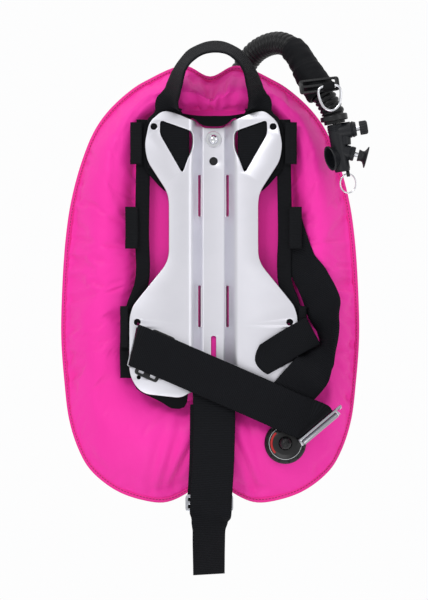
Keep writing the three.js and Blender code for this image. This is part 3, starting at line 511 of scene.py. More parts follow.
# ---------- backplate
CHANNEL_FLOOR, CHANNEL_MOUTH, CHANNEL_DEPTH = 14.4, 28.2, 18.0
BOLT_Z, PATCH_Z = 139.7, 113.6
PLATE_TOP, PLATE_BOTTOM, PLATE_THICK = 174.0, -170.0, 3.0
WAIST, UPPER, LOWER = 53.5, 82.5, 100.7
LEAN = math.tan(math.radians(7))
STRAP_SLOT_ANGLE = math.atan2(11.9, 49.8)


def lean_y(x):
    return -CHANNEL_DEPTH - max(0.0, abs(x) - CHANNEL_MOUTH) * LEAN


def both(half):
    return half + [(-x, z) for x, z in half[::-1]]


def rear_line(x):
    """Depth of the folded plate's rear face, with small bend radii."""
    corners = [(0, 0), (CHANNEL_FLOOR, 0), (CHANNEL_MOUTH, -CHANNEL_DEPTH), (130, lean_y(130))]
    spread = np.linspace(-2.6, 2.6, 9)
    xs, ys = zip(*corners)
    return float(np.mean(np.interp(np.abs(x + spread), xs, ys)))


def on_plate(x, depth, z):
    """A point of the flat sheet, carried onto the folded plate; depth grows toward the diver."""
    slope = (rear_line(x + 0.3) - rear_line(x - 0.3)) / 0.6
    long = math.hypot(1, slope)
    return (x + depth * slope / long, rear_line(x) - depth / long, z)


PLATE_EDGE = both([
    (CHANNEL_FLOOR - 1, PLATE_TOP - 20.6), (23, PLATE_TOP - 13.2), (45, PLATE_TOP - 3.5), (60.6, PLATE_TOP),
    (77, PLATE_TOP - 14), (UPPER, 133), (UPPER - 3, 113.5), (WAIST + 2.5, 77), (WAIST, 65), (WAIST, 1),
    (WAIST + 4, -11.3), (LOWER - 10, -52.2), (LOWER - 3.7, -60.7), (LOWER, -74.4), (LOWER, PLATE_BOTTOM + 30),
    (LOWER - 7.3, PLATE_BOTTOM + 14), (LOWER - 18.3, PLATE_BOTTOM + 5), (38.6, PLATE_BOTTOM),
    (27, PLATE_BOTTOM + 8),
])
KIDNEY = [(64, 162.3), (28.3, 149.8), (25.6, 143.4), (26, 130), (37.4, 98.4), (64.4, 145.5)]


def backplate():
    holes = []
    for side in (-1, 1):
        holes.append(rounded([(side * x, z) for x, z in KIDNEY], 5))
        holes += [circle(4, side * 71.5, 154.4), circle(4, side * 91.3, -79.3)]
        holes += [rectangle(3.6, 50, side * 18.6, 72, 1.8), rectangle(3.6, 50, side * 18.6, -60.5, 1.8)]
        holes.append(rectangle(5, 47, side * 94.9, -108.8, 2, side * STRAP_SLOT_ANGLE))
        holes.append(circle(4.3, 0, side * BOLT_Z))
    holes += [circle(5, 0, PATCH_Z), rectangle(6, 32, 0, -112, 3), circle(2.5, -89.4, -145, 16)]
    holes.append(rectangle(53, 5.4, 0, -153, 2))
    bends = [-1.8, -1.2, -0.6, 0, 0.6, 1.2, 1.8, 2.6, -2.6]
    cuts = [s * (c + b) for s in (-1, 1) for c in (CHANNEL_FLOOR, CHANNEL_MOUTH) for b in bends]
    obj = plate_solid("look_backplate", rounded(PLATE_EDGE, 8), holes, PLATE_THICK, 0.5, on_plate, cuts)
    return place(obj, STEEL, "plate_steel", "backplate")


backplate()
patch = lathe([(0, 0.05), (11, 0.05), (11, 0.25), (0, 0.25)], 32, (0, 0, PATCH_Z), (0, 1, 0),
              "look_hole_backing")
place(patch, RUBBER, "rubber")
BOLT_DOME = [(0, 0), (5.5, 0), (5.5, -1.6), (5.1, -2.9), (4.2, -3.9), (2.8, -4.6), (1.2, -4.95), (0, -5)]
BOLT_SHANK = [(0, 0), (3.9, 0), (3.9, 20.6), (3.5, 21.2), (0, 21.2)]
WASHER = [(4.4, 0), (9.3, 0), (9.6, -0.3), (9.6, -1.2), (9.3, -1.5), (5.2, -1.5), (4.4, -1.2), (4.4, 0)]
for which, z in (("upper", BOLT_Z), ("lower", -BOLT_Z)):
    head = lathe(BOLT_DOME, 40, (0, -5.1, z), (0, 1, 0), "head", sharp=60)
    shank = lathe(BOLT_SHANK, 24, (0, -5.1, z), (0, 1, 0), "shank")
    bolt = joined([head, shank], "look_bolt_" + which)
    place(bolt, CHROME, "bright_steel", "tank_bolt_" + which)
    washer = lathe(WASHER, 48, (0, -3.3, z), (0, 1, 0), "look_washer_" + which)
    place(washer, CHROME, "bright_steel", "bolt_washer_" + which)
    dressed("bolt_nut_" + which, CHROME, "bright_steel", 0.5)
    dressed("bolt_patch_" + which, RUBBER, "rubber", 0.3)

# ---------- wing
HALF_WIDTH, WING_TOP, WING_BOTTOM, CENTRE_X = 179.0, 229.0, -296.0, -4.0
SEAM_WIDTH, SEAM_Y = 4.7, 14.0
FRONT_BULGE, REAR_BULGE, FULLNESS = 25.0, 46.0, 0.45
PANEL_HALF_WIDTH, PANEL_HALF_HEIGHT = 93.0, 172.0
GAP = 0.3
PANEL_Y = 1.3
HALF_EDGE = [
    (0, WING_TOP - 13), (31, WING_TOP), (77, WING_TOP - 18), (96, WING_TOP - 30), (122, WING_TOP - 54),
    (139, WING_TOP - 78), (154, 115), (HALF_WIDTH - 12, 67), (HALF_WIDTH - 5, 19), (HALF_WIDTH - 0.5, -53),
    (HALF_WIDTH, -101), (HALF_WIDTH - 3.5, -149), (HALF_WIDTH - 9.5, WING_BOTTOM + 99),
    (HALF_WIDTH - 21, WING_BOTTOM + 63), (HALF_WIDTH - 35, WING_BOTTOM + 39), (114.5, WING_BOTTOM + 15),
    (82.8, WING_BOTTOM + 3), (54, WING_BOTTOM), (28, WING_BOTTOM + 11), (0, WING_BOTTOM + 34),
]
OUTLINE = catmull([(CENTRE_X + x, 0, z) for x, z in HALF_EDGE]
                  + [(CENTRE_X - x, 0, z) for x, z in HALF_EDGE[-2:0:-1]], closed=True)


def inner_seam(edge, grow):
    angle = np.arctan2(edge[:, 2], edge[:, 0])
    power = 5
    across = np.abs(np.cos(angle) / (PANEL_HALF_WIDTH + grow)) ** power
    up = np.abs(np.sin(angle) / (PANEL_HALF_HEIGHT + grow)) ** power
    radius = (across + up) ** (-1 / power)
    return np.stack([radius * np.cos(angle), 0 * angle, radius * np.sin(angle)], 1)


EDGE, _, EDGE_RUN = even(OUTLINE, 5.0, closed=True, fine=4000)
STATIONS = len(EDGE)
FRONT_STRIPS, REAR_STRIPS = 16, 18
CLOTH_FRAMES = 22
SWELL_FRONT, SWELL_REAR, SINK, SLIDE = 0.0012, 0.004, 0.004, 0.003  # furthest moves of the cloth, metres


def ring_line(side, bulge, strips):
    """Points of half a ring, from the outer seam to the inner one: [strip, station]."""
    inner = inner_seam(EDGE, 0)
    width = np.linalg.norm(EDGE - inner, axis=1)
    outer = EDGE - unit(EDGE - inner) * SEAM_WIDTH
    height = np.minimum(bulge, width * FULLNESS)
    height = np.convolve(np.tile(height, 3), np.ones(7) / 7, "same")[STATIONS:2 * STATIONS]
    out = []
    for k in range(strips + 1):
        at_seam = k in (0, strips)
        s = k / strips if at_seam else 0.5 - 0.5 * math.cos(math.pi * k / strips)
        s = 0.35 * s + 0.65 * k / strips
        base = SEAM_Y + (PANEL_Y - SEAM_Y) * s
        row = outer + (inner - outer) * s
        row[:, 1] = base + side * (height * math.sin(math.pi * s) ** 0.9 + (0 if at_seam else GAP / 2))
        out.append(row)
    return np.array(out)


def wing():
    """The ring of cloth, blown up by a short cloth simulation whose moves are then kept small."""
    front = ring_line(-1, FRONT_BULGE, FRONT_STRIPS)
    rear = ring_line(1, REAR_BULGE, REAR_STRIPS)
    rows = np.concatenate([front, rear[-2:0:-1]])  # around the tube: outer seam, front, inner seam, rear
    count = len(rows)
    rings = rows.transpose(1, 0, 2)
    obj = lofted("look_wing", rings, closed=True, us=EDGE_RUN * MM, vs=np.linspace(0, 1, count + 1))
    rest = np.array([v.co for v in obj.data.vertices])
    pins = [i * count + k for i in range(STATIONS) for k in (0, FRONT_STRIPS)]
    group = obj.vertex_groups.new(name="seams")
    group.add(pins, 1.0, "REPLACE")
    cloth = obj.modifiers.new("cloth", "CLOTH")
    s = cloth.settings
    s.quality = 5
    s.mass = 0.25
    s.tension_stiffness = s.compression_stiffness = 12
    s.shear_stiffness = 5
    s.bending_stiffness = 0.25
    s.air_damping = 2
    s.use_pressure = True
    s.uniform_pressure_force = 4
    s.shrink_min = s.shrink_max = -0.055
    s.vertex_group_mass = "seams"
    s.effector_weights.gravity = 0
    cloth.collision_settings.use_collision = False
    cloth.point_cache.frame_start, cloth.point_cache.frame_end = 1, CLOTH_FRAMES
    for f in range(1, CLOTH_FRAMES + 1):
        bpy.context.scene.frame_set(f)
    shape = obj.evaluated_get(bpy.context.evaluated_depsgraph_get()).to_mesh()
    moved = np.array([v.co for v in shape.vertices]) - rest
    obj.modifiers.remove(cloth)
    bpy.context.scene.frame_set(1)
    normals = np.array([v.normal for v in obj.data.vertices])
    out = np.sum(moved * normals, 1)
    slide = moved - normals * out[:, None]
    swing = out - np.median(out)
    high = np.where(normals[:, 1] < 0, SWELL_FRONT, SWELL_REAR)
    swing = np.where(swing > 0, high * np.tanh(swing / high), -SINK * np.tanh(-swing / SINK))
    slide *= np.minimum(1, SLIDE / np.maximum(np.linalg.norm(slide, axis=1, keepdims=True), 1e-9))
    held = np.ones(len(rest))
    held[pins] = 0
    final = rest + normals * (swing * held)[:, None] + slide * held[:, None]
    obj.data.vertices.foreach_set("co", final.reshape(-1))
    obj.data.update()
    return obj, count


def halved(grid):
    """The periodic grid with a smooth new row between each pair, along its first direction."""
    middle = (9 * (grid + np.roll(grid, -1, 0)) - np.roll(grid, 1, 0) - np.roll(grid, -2, 0)) / 16
    return np.stack([grid, middle], 1).reshape(-1, *grid.shape[1:])


def grid_normals(grid):
    around = np.roll(grid, -1, 1) - np.roll(grid, 1, 1)
    along = np.roll(grid, -1, 0) - np.roll(grid, 1, 0)
    n = unit(np.cross(along, around) + 1e-12)
    centre = grid.mean(1, keepdims=True)
    return n * np.sign(np.mean(np.sum(n * (grid - centre), -1)))


def gathers(grid, normals, seam_row, rows, seed, pitch, reach, depth):
    """Short creases that run off a seam row over some rows on one side of it."""
    rng = np.random.default_rng(seed)
    total = EDGE_RUN[-1] + 5
    n = int(total / pitch)
    where = (np.arange(n) + rng.uniform(-0.4, 0.4, n)) * total / n
    long = rng.uniform(0.35, 1.0, n) ** 1.5 * reach
    deep = rng.uniform(0.25, 1.0, n) * depth
    wide = rng.uniform(2.6, 5.2, n)
    slant = rng.uniform(-0.35, 0.35, n)
    run = np.arange(len(grid)) * total / len(grid)
    start = grid[:, seam_row]
    for row in rows:
        away = (np.linalg.norm(grid[:, row] - start, axis=1) / MM)[:, None]
        gap = run[:, None] + away * slant - where
        gap = (gap + total / 2) % total - total / 2
        fade = np.clip(1 - away / long, 0, 1) * np.clip(away / 5, 0, 1)
        dip = np.sum(deep * fade * np.exp(-((gap / (wide * (1 + away / 30))) ** 2)), 1)
        grid[:, row] -= normals[:, row] * (dip * MM)[:, None]


# long creases at the top and bottom notch: x, width, depth, lean
TOP_CREASES = [(-4, 4.5, 5.0, 0.1), (9, 3.5, 3.4, 0.16), (-22, 6, 2.8, -0.1), (24, 6, 2.5, 0.2)]
BOTTOM_CREASES = [(-34, 5, 5.2, 0.45), (-52, 6, 4.0, 0.3), (-70, 7, 2.8, 0.25), (36, 6, 3.8, -0.4),
                  (54, 7, 2.4, -0.3)]


def dress_wing(obj, count):
    """Adds the gathers at the seams and the long creases at the notches, on a finer grid.

    The coarse grid, drawn in from the cover on all sides, becomes the bladder.
    """
    coarse = np.array([v.co for v in obj.data.vertices]).reshape(STATIONS, count, 3)
    outer_line, inner_line = coarse[:, :1], coarse[:, FRONT_STRIPS:FRONT_STRIPS + 1]
    across = inner_line - outer_line
    away = coarse - outer_line
    share = np.sum(away * across, -1, keepdims=True) / np.sum(across**2, -1, keepdims=True)
    share = np.clip(share, 0, 1)
    inner_skin = outer_line + across * (0.2 + 0.6 * share) + (away - across * share) * 0.2
    grid = halved(halved(coarse).transpose(1, 0, 2)).transpose(1, 0, 2)
    normals = grid_normals(grid)
    inner_row, last = 2 * FRONT_STRIPS, grid.shape[1]
    gathers(grid, normals, 0, range(1, inner_row // 2 + 4), 3, 13, 55, 2.6)
    gathers(grid, normals, 0, range(last - 1, last - inner_row // 2 - 4, -1), 4, 12, 60, 3.0)
    gathers(grid, normals, inner_row, range(inner_row - 1, inner_row // 2, -1), 5, 17, 40, 1.6)
    gathers(grid, normals, inner_row, range(inner_row + 1, inner_row + 14), 6, 16, 45, 2.2)
    x, z = grid[..., 0] / MM, grid[..., 2] / MM
    front = np.zeros(grid.shape[1])
    front[1:inner_row] = 1
    creases = np.zeros(x.shape)
    top, bottom = np.clip((z - 166) / 25, 0, 1), np.clip((-195 - z) / 30, 0, 1)
    for fade, middle, table in ((top, 190, TOP_CREASES), (bottom, -245, BOTTOM_CREASES)):
        for cx, wide, deep, lean in table:
            creases += fade * deep * np.exp(-(((x - cx - (z - middle) * lean) / wide) ** 2))
    from_rim = np.linalg.norm(grid - grid[:, :1], axis=-1) / MM
    grid -= normals * (creases * front * np.clip(from_rim / 26, 0, 1) * MM)[..., None]
    ripple = np.array([[rough(p[0] * 22, p[1] * 10, p[2] * 13) for p in line]
                       for line in grid])
    off_seam = np.arange(last) % inner_row != 0
    grid -= normals * (np.clip(ripple + 0.15, 0, 1) * 3.2 * MM * off_seam)[..., None]
    bpy.data.objects.remove(obj)
    rows = np.linspace(0, 1, last + 1)
    along = np.arange(len(grid)) * 2.5 * MM
    fine = lofted("look_wing", grid / MM, closed=True, us=along, vs=rows)
    skin = lofted("look_bladder", inner_skin / MM, closed=True)
    place(skin, FILM, "bladder_film", "bladder_front", "bladder_rear")
    return place(fine, NYLON, "wing_nylon", "wing_front_shell", "wing_rear_shell")


wing_obj = dress_wing(*wing())


def stitched_nylon():
    """Wing cloth with a line of stitches along the seam; U runs along it in metres."""
    mat, tree, shader = principled("seam_nylon", (228, 30, 144), 0.55, specular=0.3, sheen=0.2)
    thread = waves(tree, 0.004)
    coords = tree.nodes.new("ShaderNodeTexCoord").outputs["UV"]
    split = tree.nodes.new("ShaderNodeSeparateXYZ")
    tree.links.new(coords, split.inputs["Vector"])
    stitch_line = maths(tree, "COMPARE", split.outputs["Y"], 0.72, 0.09)
    dash = maths(tree, "GREATER_THAN", thread, 0.3)
    mark = maths(tree, "MULTIPLY", stitch_line, dash)
    tree.links.new(mixed(tree, mark, (228, 30, 144), (150, 10, 88)), shader.inputs["Base Color"])
    bump(tree, shader, mark, 0.0006, 0.8)
    return mat


def seam_binding():
    """The cloth band over the outer seam; V is the share of the way in from the rim to the band's edge."""
    inner = inner_seam(EDGE, 0)
    outward = unit(EDGE - inner)
    half = [(0, 0.6), (-0.7, 1.3), (-4.6, 1.2), (-7.0, 0.3)]
    profile = [(0, -0.6)] + half + [(d, -h) for d, h in half[:0:-1]]
    marks = [0.0, 0.05, 0.12, 0.8, 0.9, 0.95, 0.9, 0.12, 0.0]
    rings = []
    for i in range(STATIONS):
        wobble = 0.5 * rough(EDGE_RUN[i] / 16, 5.0, 0.0)
        rings.append([EDGE[i] + outward[i] * d + np.array((0, SEAM_Y + h + wobble, 0))
                      for d, h in profile])
    obj = lofted("look_seam_binding", rings, closed=True, us=EDGE_RUN * MM, vs=marks)
    return place(obj, stitched_nylon(), "wing_nylon", "wing_seam_binding")


seam_binding()


def centre_panel():
    """The flat cloth inside the ring, slightly slack; its rim lies under the ring's inner seam."""
    rim = inner_seam(EDGE, 2.0)
    front_y, back_y, slack = 0.45, 2.3, 0.25
    front, ring_count = [], 14
    for k in range(ring_count):
        ring = []
        for x, _, z in rim * ((k + 1) / ring_count):
            free = k < ring_count - 2  # the two outer rings lie flat
            lift = slack * rough(x / 24, z / 30, 4.0) if free else 0.0
            ring.append((x, front_y + lift, z))
        front.append(ring)
    back = [[(x, back_y, z) for x, _, z in ring] for ring in front[::-1]]
    obj = lofted("look_centre_panel", front + back)
    return place(obj, NYLON, "wing_nylon", "wing_centre_panel")


centre_panel()

# ---------- pads, bands and loops
SHOULDER_FRONT = GAP
PAD_FRONT = SHOULDER_FRONT + 2.4 + GAP
BAND_FRONT = PAD_FRONT + 3 + GAP
BAND_ROUTE = [(83.6, 163), (84.4, 100), (85.5, 30), (85.5, -30), (96, -62), (103, -100), (103, -146)]


def behind(x, distance):
    return lean_y(x) + distance


dressed("upper_back_pad", PAD, "pad_fabric", 0.9)
for name, side in (("left", -1), ("right", 1)):
    dressed("lower_back_pad_" + name, PAD, "pad_fabric", 0.9)
    stations = [(side * x, behind(x, BAND_FRONT + 1.2), z, 1, -side * LEAN, 0) for x, z in BAND_ROUTE]
    band = ribbon("look_side_band_" + name, stations, 17, 2.5, 6)
    place(band, SMALL_WEBBING, "webbing", "side_band_" + name)


# the second colour is the painted highlight on the rib crests
LOOP_WEBBING = webbing_look("loop_webbing", (9, 10, 12), (22, 24, 28), 0.0018)


def webbing_loop(node_name):
    """A folded webbing loop, a flattened tube along Z inside its CAD node's box."""
    low, high = (np.array(c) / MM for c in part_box(node_name))
    cx, cy = (low[0] + high[0]) / 2, (low[1] + high[1]) / 2
    w, d = (high[0] - low[0]) / 2, (high[1] - low[1]) / 2
    outline = rounded([(cx - w, cy - d), (cx + w, cy - d), (cx + w, cy + d), (cx - w, cy + d)], 3.2, 5)
    core = inset(outline, 1.9)
    seed = cx * 0.1 + low[2] * 0.03
    steps = 26
    up = np.linspace(low[2], high[2], steps + 1)
    rings = []
    for loop, heights in ((outline, range(steps + 1)), (core, range(steps, -1, -1))):
        for k in heights:
            z = low[2] + (high[2] - low[2]) * k / steps
            rings.append([(x + 0.35 * rough(z / 12, seed, 0),
                           y + 0.5 * rough(z / 15, x / 10, seed), z) for x, y in loop])
    run = np.concatenate([up, up[::-1]]) * MM
    sides = np.linalg.norm(np.diff(np.vstack([outline, outline[:1]]), axis=0), axis=1)
    around = np.concatenate([[0], np.cumsum(sides)]) * MM
    obj = lofted("look_" + node_name, rings, closed=True, us=run, vs=around)
    return place(obj, LOOP_WEBBING, "webbing", node_name)


for where in ("top", "middle", "bottom"):
    for name in ("left", "right"):
        webbing_loop(f"{where}_loop_{name}")

# ---------- straps
FLAT_X = CHANNEL_MOUTH + 26
FLAT_Y = behind(FLAT_X, SHOULDER_FRONT + 1.2)
SLOT_X, SLOT_Z = 94.4, -106.5
SLOT_Y = lean_y(SLOT_X) - 2.4
BUCKLE = np.array((123.6, -54.5, -201.6))
BUCKLE_FACE = np.array((0.643, 0, -0.766))
AT_BUCKLE = BUCKLE - BUCKLE_FACE * (1.25 + 3 * GAP + 1.2)


def facing(across, *points):
    """Stations at which the webbing lies across one direction."""
    return [(*p, *across) for p in points]


def strap(name, node, stations, width=50, **values):
    """A ribbon of the main webbing that stands for a node."""
    place(ribbon("look_" + name, stations, width, **values), WEBBING, "webbing", node)


# the arch: both ends pass down through the plate's neck at the same places
FOOT = [(-FLAT_X, FLAT_Y, z, 1, LEAN, 0, share)
        for z, share in ((104, 1), (140, 1), (162, 1), (172, 0.66), (174.5, 0.62))]
FOOT.append((-52.5, -29, 184, 0.62, -0.78, 0, 0.72))
OTHER_FOOT = [(-x, y, z, -wx, wy, wz, share) for x, y, z, wx, wy, wz, share in FOOT[::-1]]
strap("shoulder_webbing", "shoulder_webbing", [
    *FOOT, (-49.2, -33.5, 194, 0.42, -0.9, 0, 0.88), (-45.4, -37, 206, 0.36, -0.93, 0),
    (-37.4, -41, 226, 0.25, -0.95, -0.1), (-26.4, -42, 239, 0.15, -0.95, -0.25),
    (-10.9, -42, 247, 0, -0.95, -0.3), (3.5, -42, 249, 0, -0.95, -0.3), (16.2, -42, 246.6, 0, -0.95, -0.3),
    (29.4, -42, 238.8, -0.15, -0.95, -0.25), (39.6, -41, 226, -0.25, -0.95, -0.1),
    (47.4, -37, 206, -0.36, -0.93, 0), (50.5, -33.5, 194, -0.42, -0.9, 0, 0.88), *OTHER_FOOT])

strap("waist_strap", "waist_strap_left", [
    *facing((-0.233, 0, -0.972), (-SLOT_X, SLOT_Y, SLOT_Z), (-SLOT_X, SLOT_Y - 3.5, SLOT_Z),
            (-SLOT_X + 2.5, SLOT_Y - 6.8, SLOT_Z - 1)), (-84, SLOT_Y - 6.8, -111, -0.3, 0, -0.95),
    *facing((-0.398, 0, -0.917), (-60, -32.4, -121), (0, -31, -147), (45, -33.8, -166.5),
            (70, -35.8, -177.5)),
    (97, -37.6, -189.5, -0.5, 0, -0.866), (109.5, -41, -193.8, -0.7, 0, -0.71),
    *facing((-0.766, 0, -0.643), (AT_BUCKLE[0] - 2.8, BUCKLE[1] + 8, AT_BUCKLE[2] + 3.3),
            (AT_BUCKLE[0], BUCKLE[1] - 3, AT_BUCKLE[2]), (AT_BUCKLE[0], BUCKLE[1] - 18, AT_BUCKLE[2]))],
    wave=0.5, seed=2.0)

strap("right_strap", "shoulder_strap_right", [
    (92, behind(92, BAND_FRONT + 2.4 + GAP) + 1.4, 50, 0.95, -0.12, 0.3, 0.5),
    (103, -16.4, -2.4, 0.92, -0.13, 0.38, 0.72), (118.2, -20.2, -28.8, 0.95, -0.22, 0.25, 0.84),
    (129, -26.4, -52.8, 0.92, -0.44, 0.05, 0.93), (136.5, -41, -84, 0.5, -0.86, 0),
    (136.2, -44, -106, 0.36, -0.92, -0.12), (127, -43, -123, 0.6, -0.7, -0.35),
    (114, -42, -141, 0.79, -0.2, -0.52),
    *facing((0.82, 0, -0.57), (100, -33.2, -157), (90, -31.8, -169), (83, -31.6, -180))])

LOOP_FRONT, LOOP_REAR = -35.2, -31.9
LOOP_FOLD = (51.6, 0, -128.4)
LOOP_ALONG, LOOP_ACROSS, LOOP_WIDTH = (0.873, 0, 0.488), (0.488, 0, -0.873), 36
loop = ribbon("look_waist_loop", [
    *facing((0.233, 0, -0.972), (SLOT_X, SLOT_Y, SLOT_Z), (SLOT_X, SLOT_Y - 3, SLOT_Z)),
    (SLOT_X - 2.5, LOOP_REAR + 0.4, SLOT_Z - 1, 0.26, 0, -0.965), (84, LOOP_REAR, -111, 0.4, 0, -0.92),
    *facing(LOOP_ACROSS, (68, LOOP_REAR, -119.5), (55, LOOP_REAR, -126.6),
            (51.6, (LOOP_REAR + LOOP_FRONT) / 2, -128.4), (55, LOOP_FRONT, -126.6),
            (76, LOOP_FRONT, -113.5), (98, LOOP_FRONT, -100.5), (119, LOOP_FRONT, -89.3))],
    LOOP_WIDTH, step=1.2)


def bow_fold(obj):
    """Lets the fold bow out in the middle of the webbing; its upper edge falls away furthest."""
    upper_bow, lower_bow, reach, fade = 15, 6, 60, 26
    for v in obj.data.vertices:
        away = np.array(v.co) / MM - LOOP_FOLD
        share = float(np.dot(away, LOOP_ACROSS)) / (LOOP_WIDTH / 2)
        back = float(np.dot(away, LOOP_ALONG))
        if away[1] < -30 and back < reach:
            bow = upper_bow if share < 0 else lower_bow
            v.co += Vector(LOOP_ALONG) * (bow * share**2 * math.exp(-max(back, 0) / fade)) * MM


bow_fold(loop)
place(loop, WEBBING, "webbing", "waist_loop_right")

strap("crotch_strap", "crotch_strap", [
    *facing((1, 0, 0), (0, -PLATE_THICK + 1.6, -153), (0, -11, -153), (0, -18, -153.6), (0, -21.2, -158),
            (0.4, -22, -172), (0.9, -25.4, -192), (0.6, -29.8, -216), (-0.5, -32, -250), (-2.6, -33.8, -285),
            (-3.4, -34, -306)),
    (-4.6, -34, -317, 0.86, 0.5, 0), (-5.4, -33.5, -330, 0.77, 0.64, 0), (-5.4, -33, -380, 0.74, 0.67, 0)])
strap("crotch_return", "crotch_strap_return", facing(
    (1, 0, 0), (-3.5, -19, -178), (-3.6, -21.6, -192), (-3.8, -25.4, -216), (-4.5, -27, -250),
    (-6.5, -28.1, -285), (-7, -28.2, -303)), 49)

dressed("crotch_strap_slider", HARDWARE, "plate_steel", 0.5)
dressed("waist_keeper", DARK_PLASTIC, "black_plastic", 0.6)
dressed("buckle_frame", HARDWARE, "plate_steel", 0.6)
dressed("buckle_pin", CHROME, "bright_steel", 0.3)
dressed("buckle_rivet", CHROME, "bright_steel", 0.3)
dressed("buckle_lever", HARDWARE, "plate_steel", 0.5, body="buckle_lever")

# ---------- corrugated hose
HOSE_ROUTE = [
    (33, 55, 206), (33, 55, 215), (35.5, 54, 226), (41.5, 50, 236), (50, 43.5, 246), (60, 35.5, 252.5),
    (71, 26, 256), (81, 16, 256), (91, 6, 251.5), (100, -4, 242.5), (107.8, -14, 229.5), (115.2, -22, 215.5),
    (123.8, -28.5, 201.5), (134, -32, 186.5), (142.2, -33.4, 171), (144.8, -33.5, 157.5),
]
PITCH, CUFF, LOWER_CUFF = 5.8, 11.0, 8.0
CUFF_RADIUS, VALLEY, RIDGE = 12.6, 11.7, 2.3
hose_at = catmull(HOSE_ROUTE)
hose_pts, _, hose_run = even(hose_at, 0.65, fine=3000)
HOSE_LENGTH = hose_run[-1]


def hose_radius(run):
    if run < CUFF or run > HOSE_LENGTH - LOWER_CUFF:
        return CUFF_RADIUS
    phase = (run % PITCH) / PITCH
    return VALLEY + RIDGE * max(0.0, math.sin(math.pi * phase)) ** 0.7


hose = tube("look_hose", hose_pts, [hose_radius(r) for r in hose_run], 40)
place(hose, HOSE, "hose_rubber", "hose")


def hose_share(share):
    """The point of the hose's centreline at a share of its length."""
    return np.array([np.interp(share * HOSE_LENGTH, hose_run, hose_pts[:, k]) for k in range(3)])


def hose_tie():
    """A plastic band around the hose's lower end, with an inner wall."""
    radius, wall, chamfer, steps = 16.3, 1.6, 0.8, 8
    path = [hose_share(s) for s in np.linspace(0.955, 0.985, steps + 1)]
    outside = [radius - chamfer] + [radius] * (steps - 1) + [radius - chamfer]
    return tube("look_tie", path + path[::-1], outside + [radius - wall] * len(path), 44, closed=True)


def sleeve():
    """Smooth cloth sleeve, pulled on over the corrugations and wrapped once at its lower end."""
    shares = np.linspace(0.495, 0.825, 71)
    inner_radius, outer_radius, flare = 14.6, 15.6, 2.6
    lap_at, lap_thick, rim = 0.652, 0.9, 0.9
    rings = []
    pts = np.array([hose_share(s) for s in shares])
    tangents = unit(np.gradient(pts, axis=0))
    normal = unit(np.cross(tangents[0], (0.3, 1.0, 0.2)))
    last = len(pts) - 1
    for inside, order in ((False, range(last + 1)), (True, range(last, -1, -1))):
        for k in order:
            t = tangents[k]
            normal = unit(normal - t * np.dot(normal, t))
            other = np.cross(t, normal)
            ring = []
            for a in turn(48):
                r = inner_radius
                if not inside:
                    folds = 0.9 * rough(shares[k] * 34, math.cos(a) * 1.3, math.sin(a) * 1.3)
                    lap = lap_thick / (1 + math.exp(-(shares[k] - lap_at - 0.012 * math.sin(a + 1)) * 900))
                    r = outer_radius + flare * k / last + folds + lap - (rim if k in (0, last) else 0)
                ring.append(pts[k] + r * (normal * math.cos(a) + other * math.sin(a)))
            rings.append(ring)
    return lofted("look_sleeve", rings, closed=True)


place(sleeve(), SLEEVE, "webbing", "hose_sleeve")
place(hose_tie(), DARK_PLASTIC, "black_plastic", "hose_tie")
dressed("hose_elbow", PLASTIC, "black_plastic", 0.8)
dressed("hose_triglide", DARK_PLASTIC, "black_plastic", 0.7)
dressed("d_ring_tab", SMALL_WEBBING, "webbing", 0.5)


def smooth_ring(name):
    """The CAD wire ring, subdivided twice so that it reads as round wire. Its body has its name."""
    obj = linked("look_" + name, CAD[name].data.copy())
    bm = bmesh.new()
    bm.from_mesh(obj.data)
    bmesh.ops.remove_doubles(bm, verts=bm.verts, dist=WELD)
    bmesh.ops.join_triangles(bm, faces=bm.faces, angle_face_threshold=3.2, angle_shape_threshold=3.2)
    bm.to_mesh(obj.data)
    bm.free()
    sub = obj.modifiers.new("round", "SUBSURF")
    sub.levels = sub.render_levels = 2
    mesh = bpy.data.meshes.new_from_object(obj.evaluated_get(bpy.context.evaluated_depsgraph_get()))
    obj.modifiers.remove(sub)
    obj.data = mesh
    obj.data.shade_smooth()
    return place(obj, CHROME, "bright_steel", name, body=name)


smooth_ring("d_ring")
smooth_ring("inflator_ring")

# ---------- inflator
INFLATOR_AT = np.array((144.8, -33.5, 157.5))
VENT_TILT = 0.42
IX, IZ = np.array((0.98723, 0, 0.15932)), np.array((-0.15932, 0, 0.98723))
IY = np.array((0.0, 1.0, 0.0))


def infl(x, y, z):
    """A point given in the inflator's own directions, in space."""
    return INFLATOR_AT + IX * x + IY * y + IZ * z


def infl_dir(x, y, z):
    return IX * x + IY * y + IZ * z


VENT_AXIS = infl_dir(math.cos(VENT_TILT), 0, -math.sin(VENT_TILT))


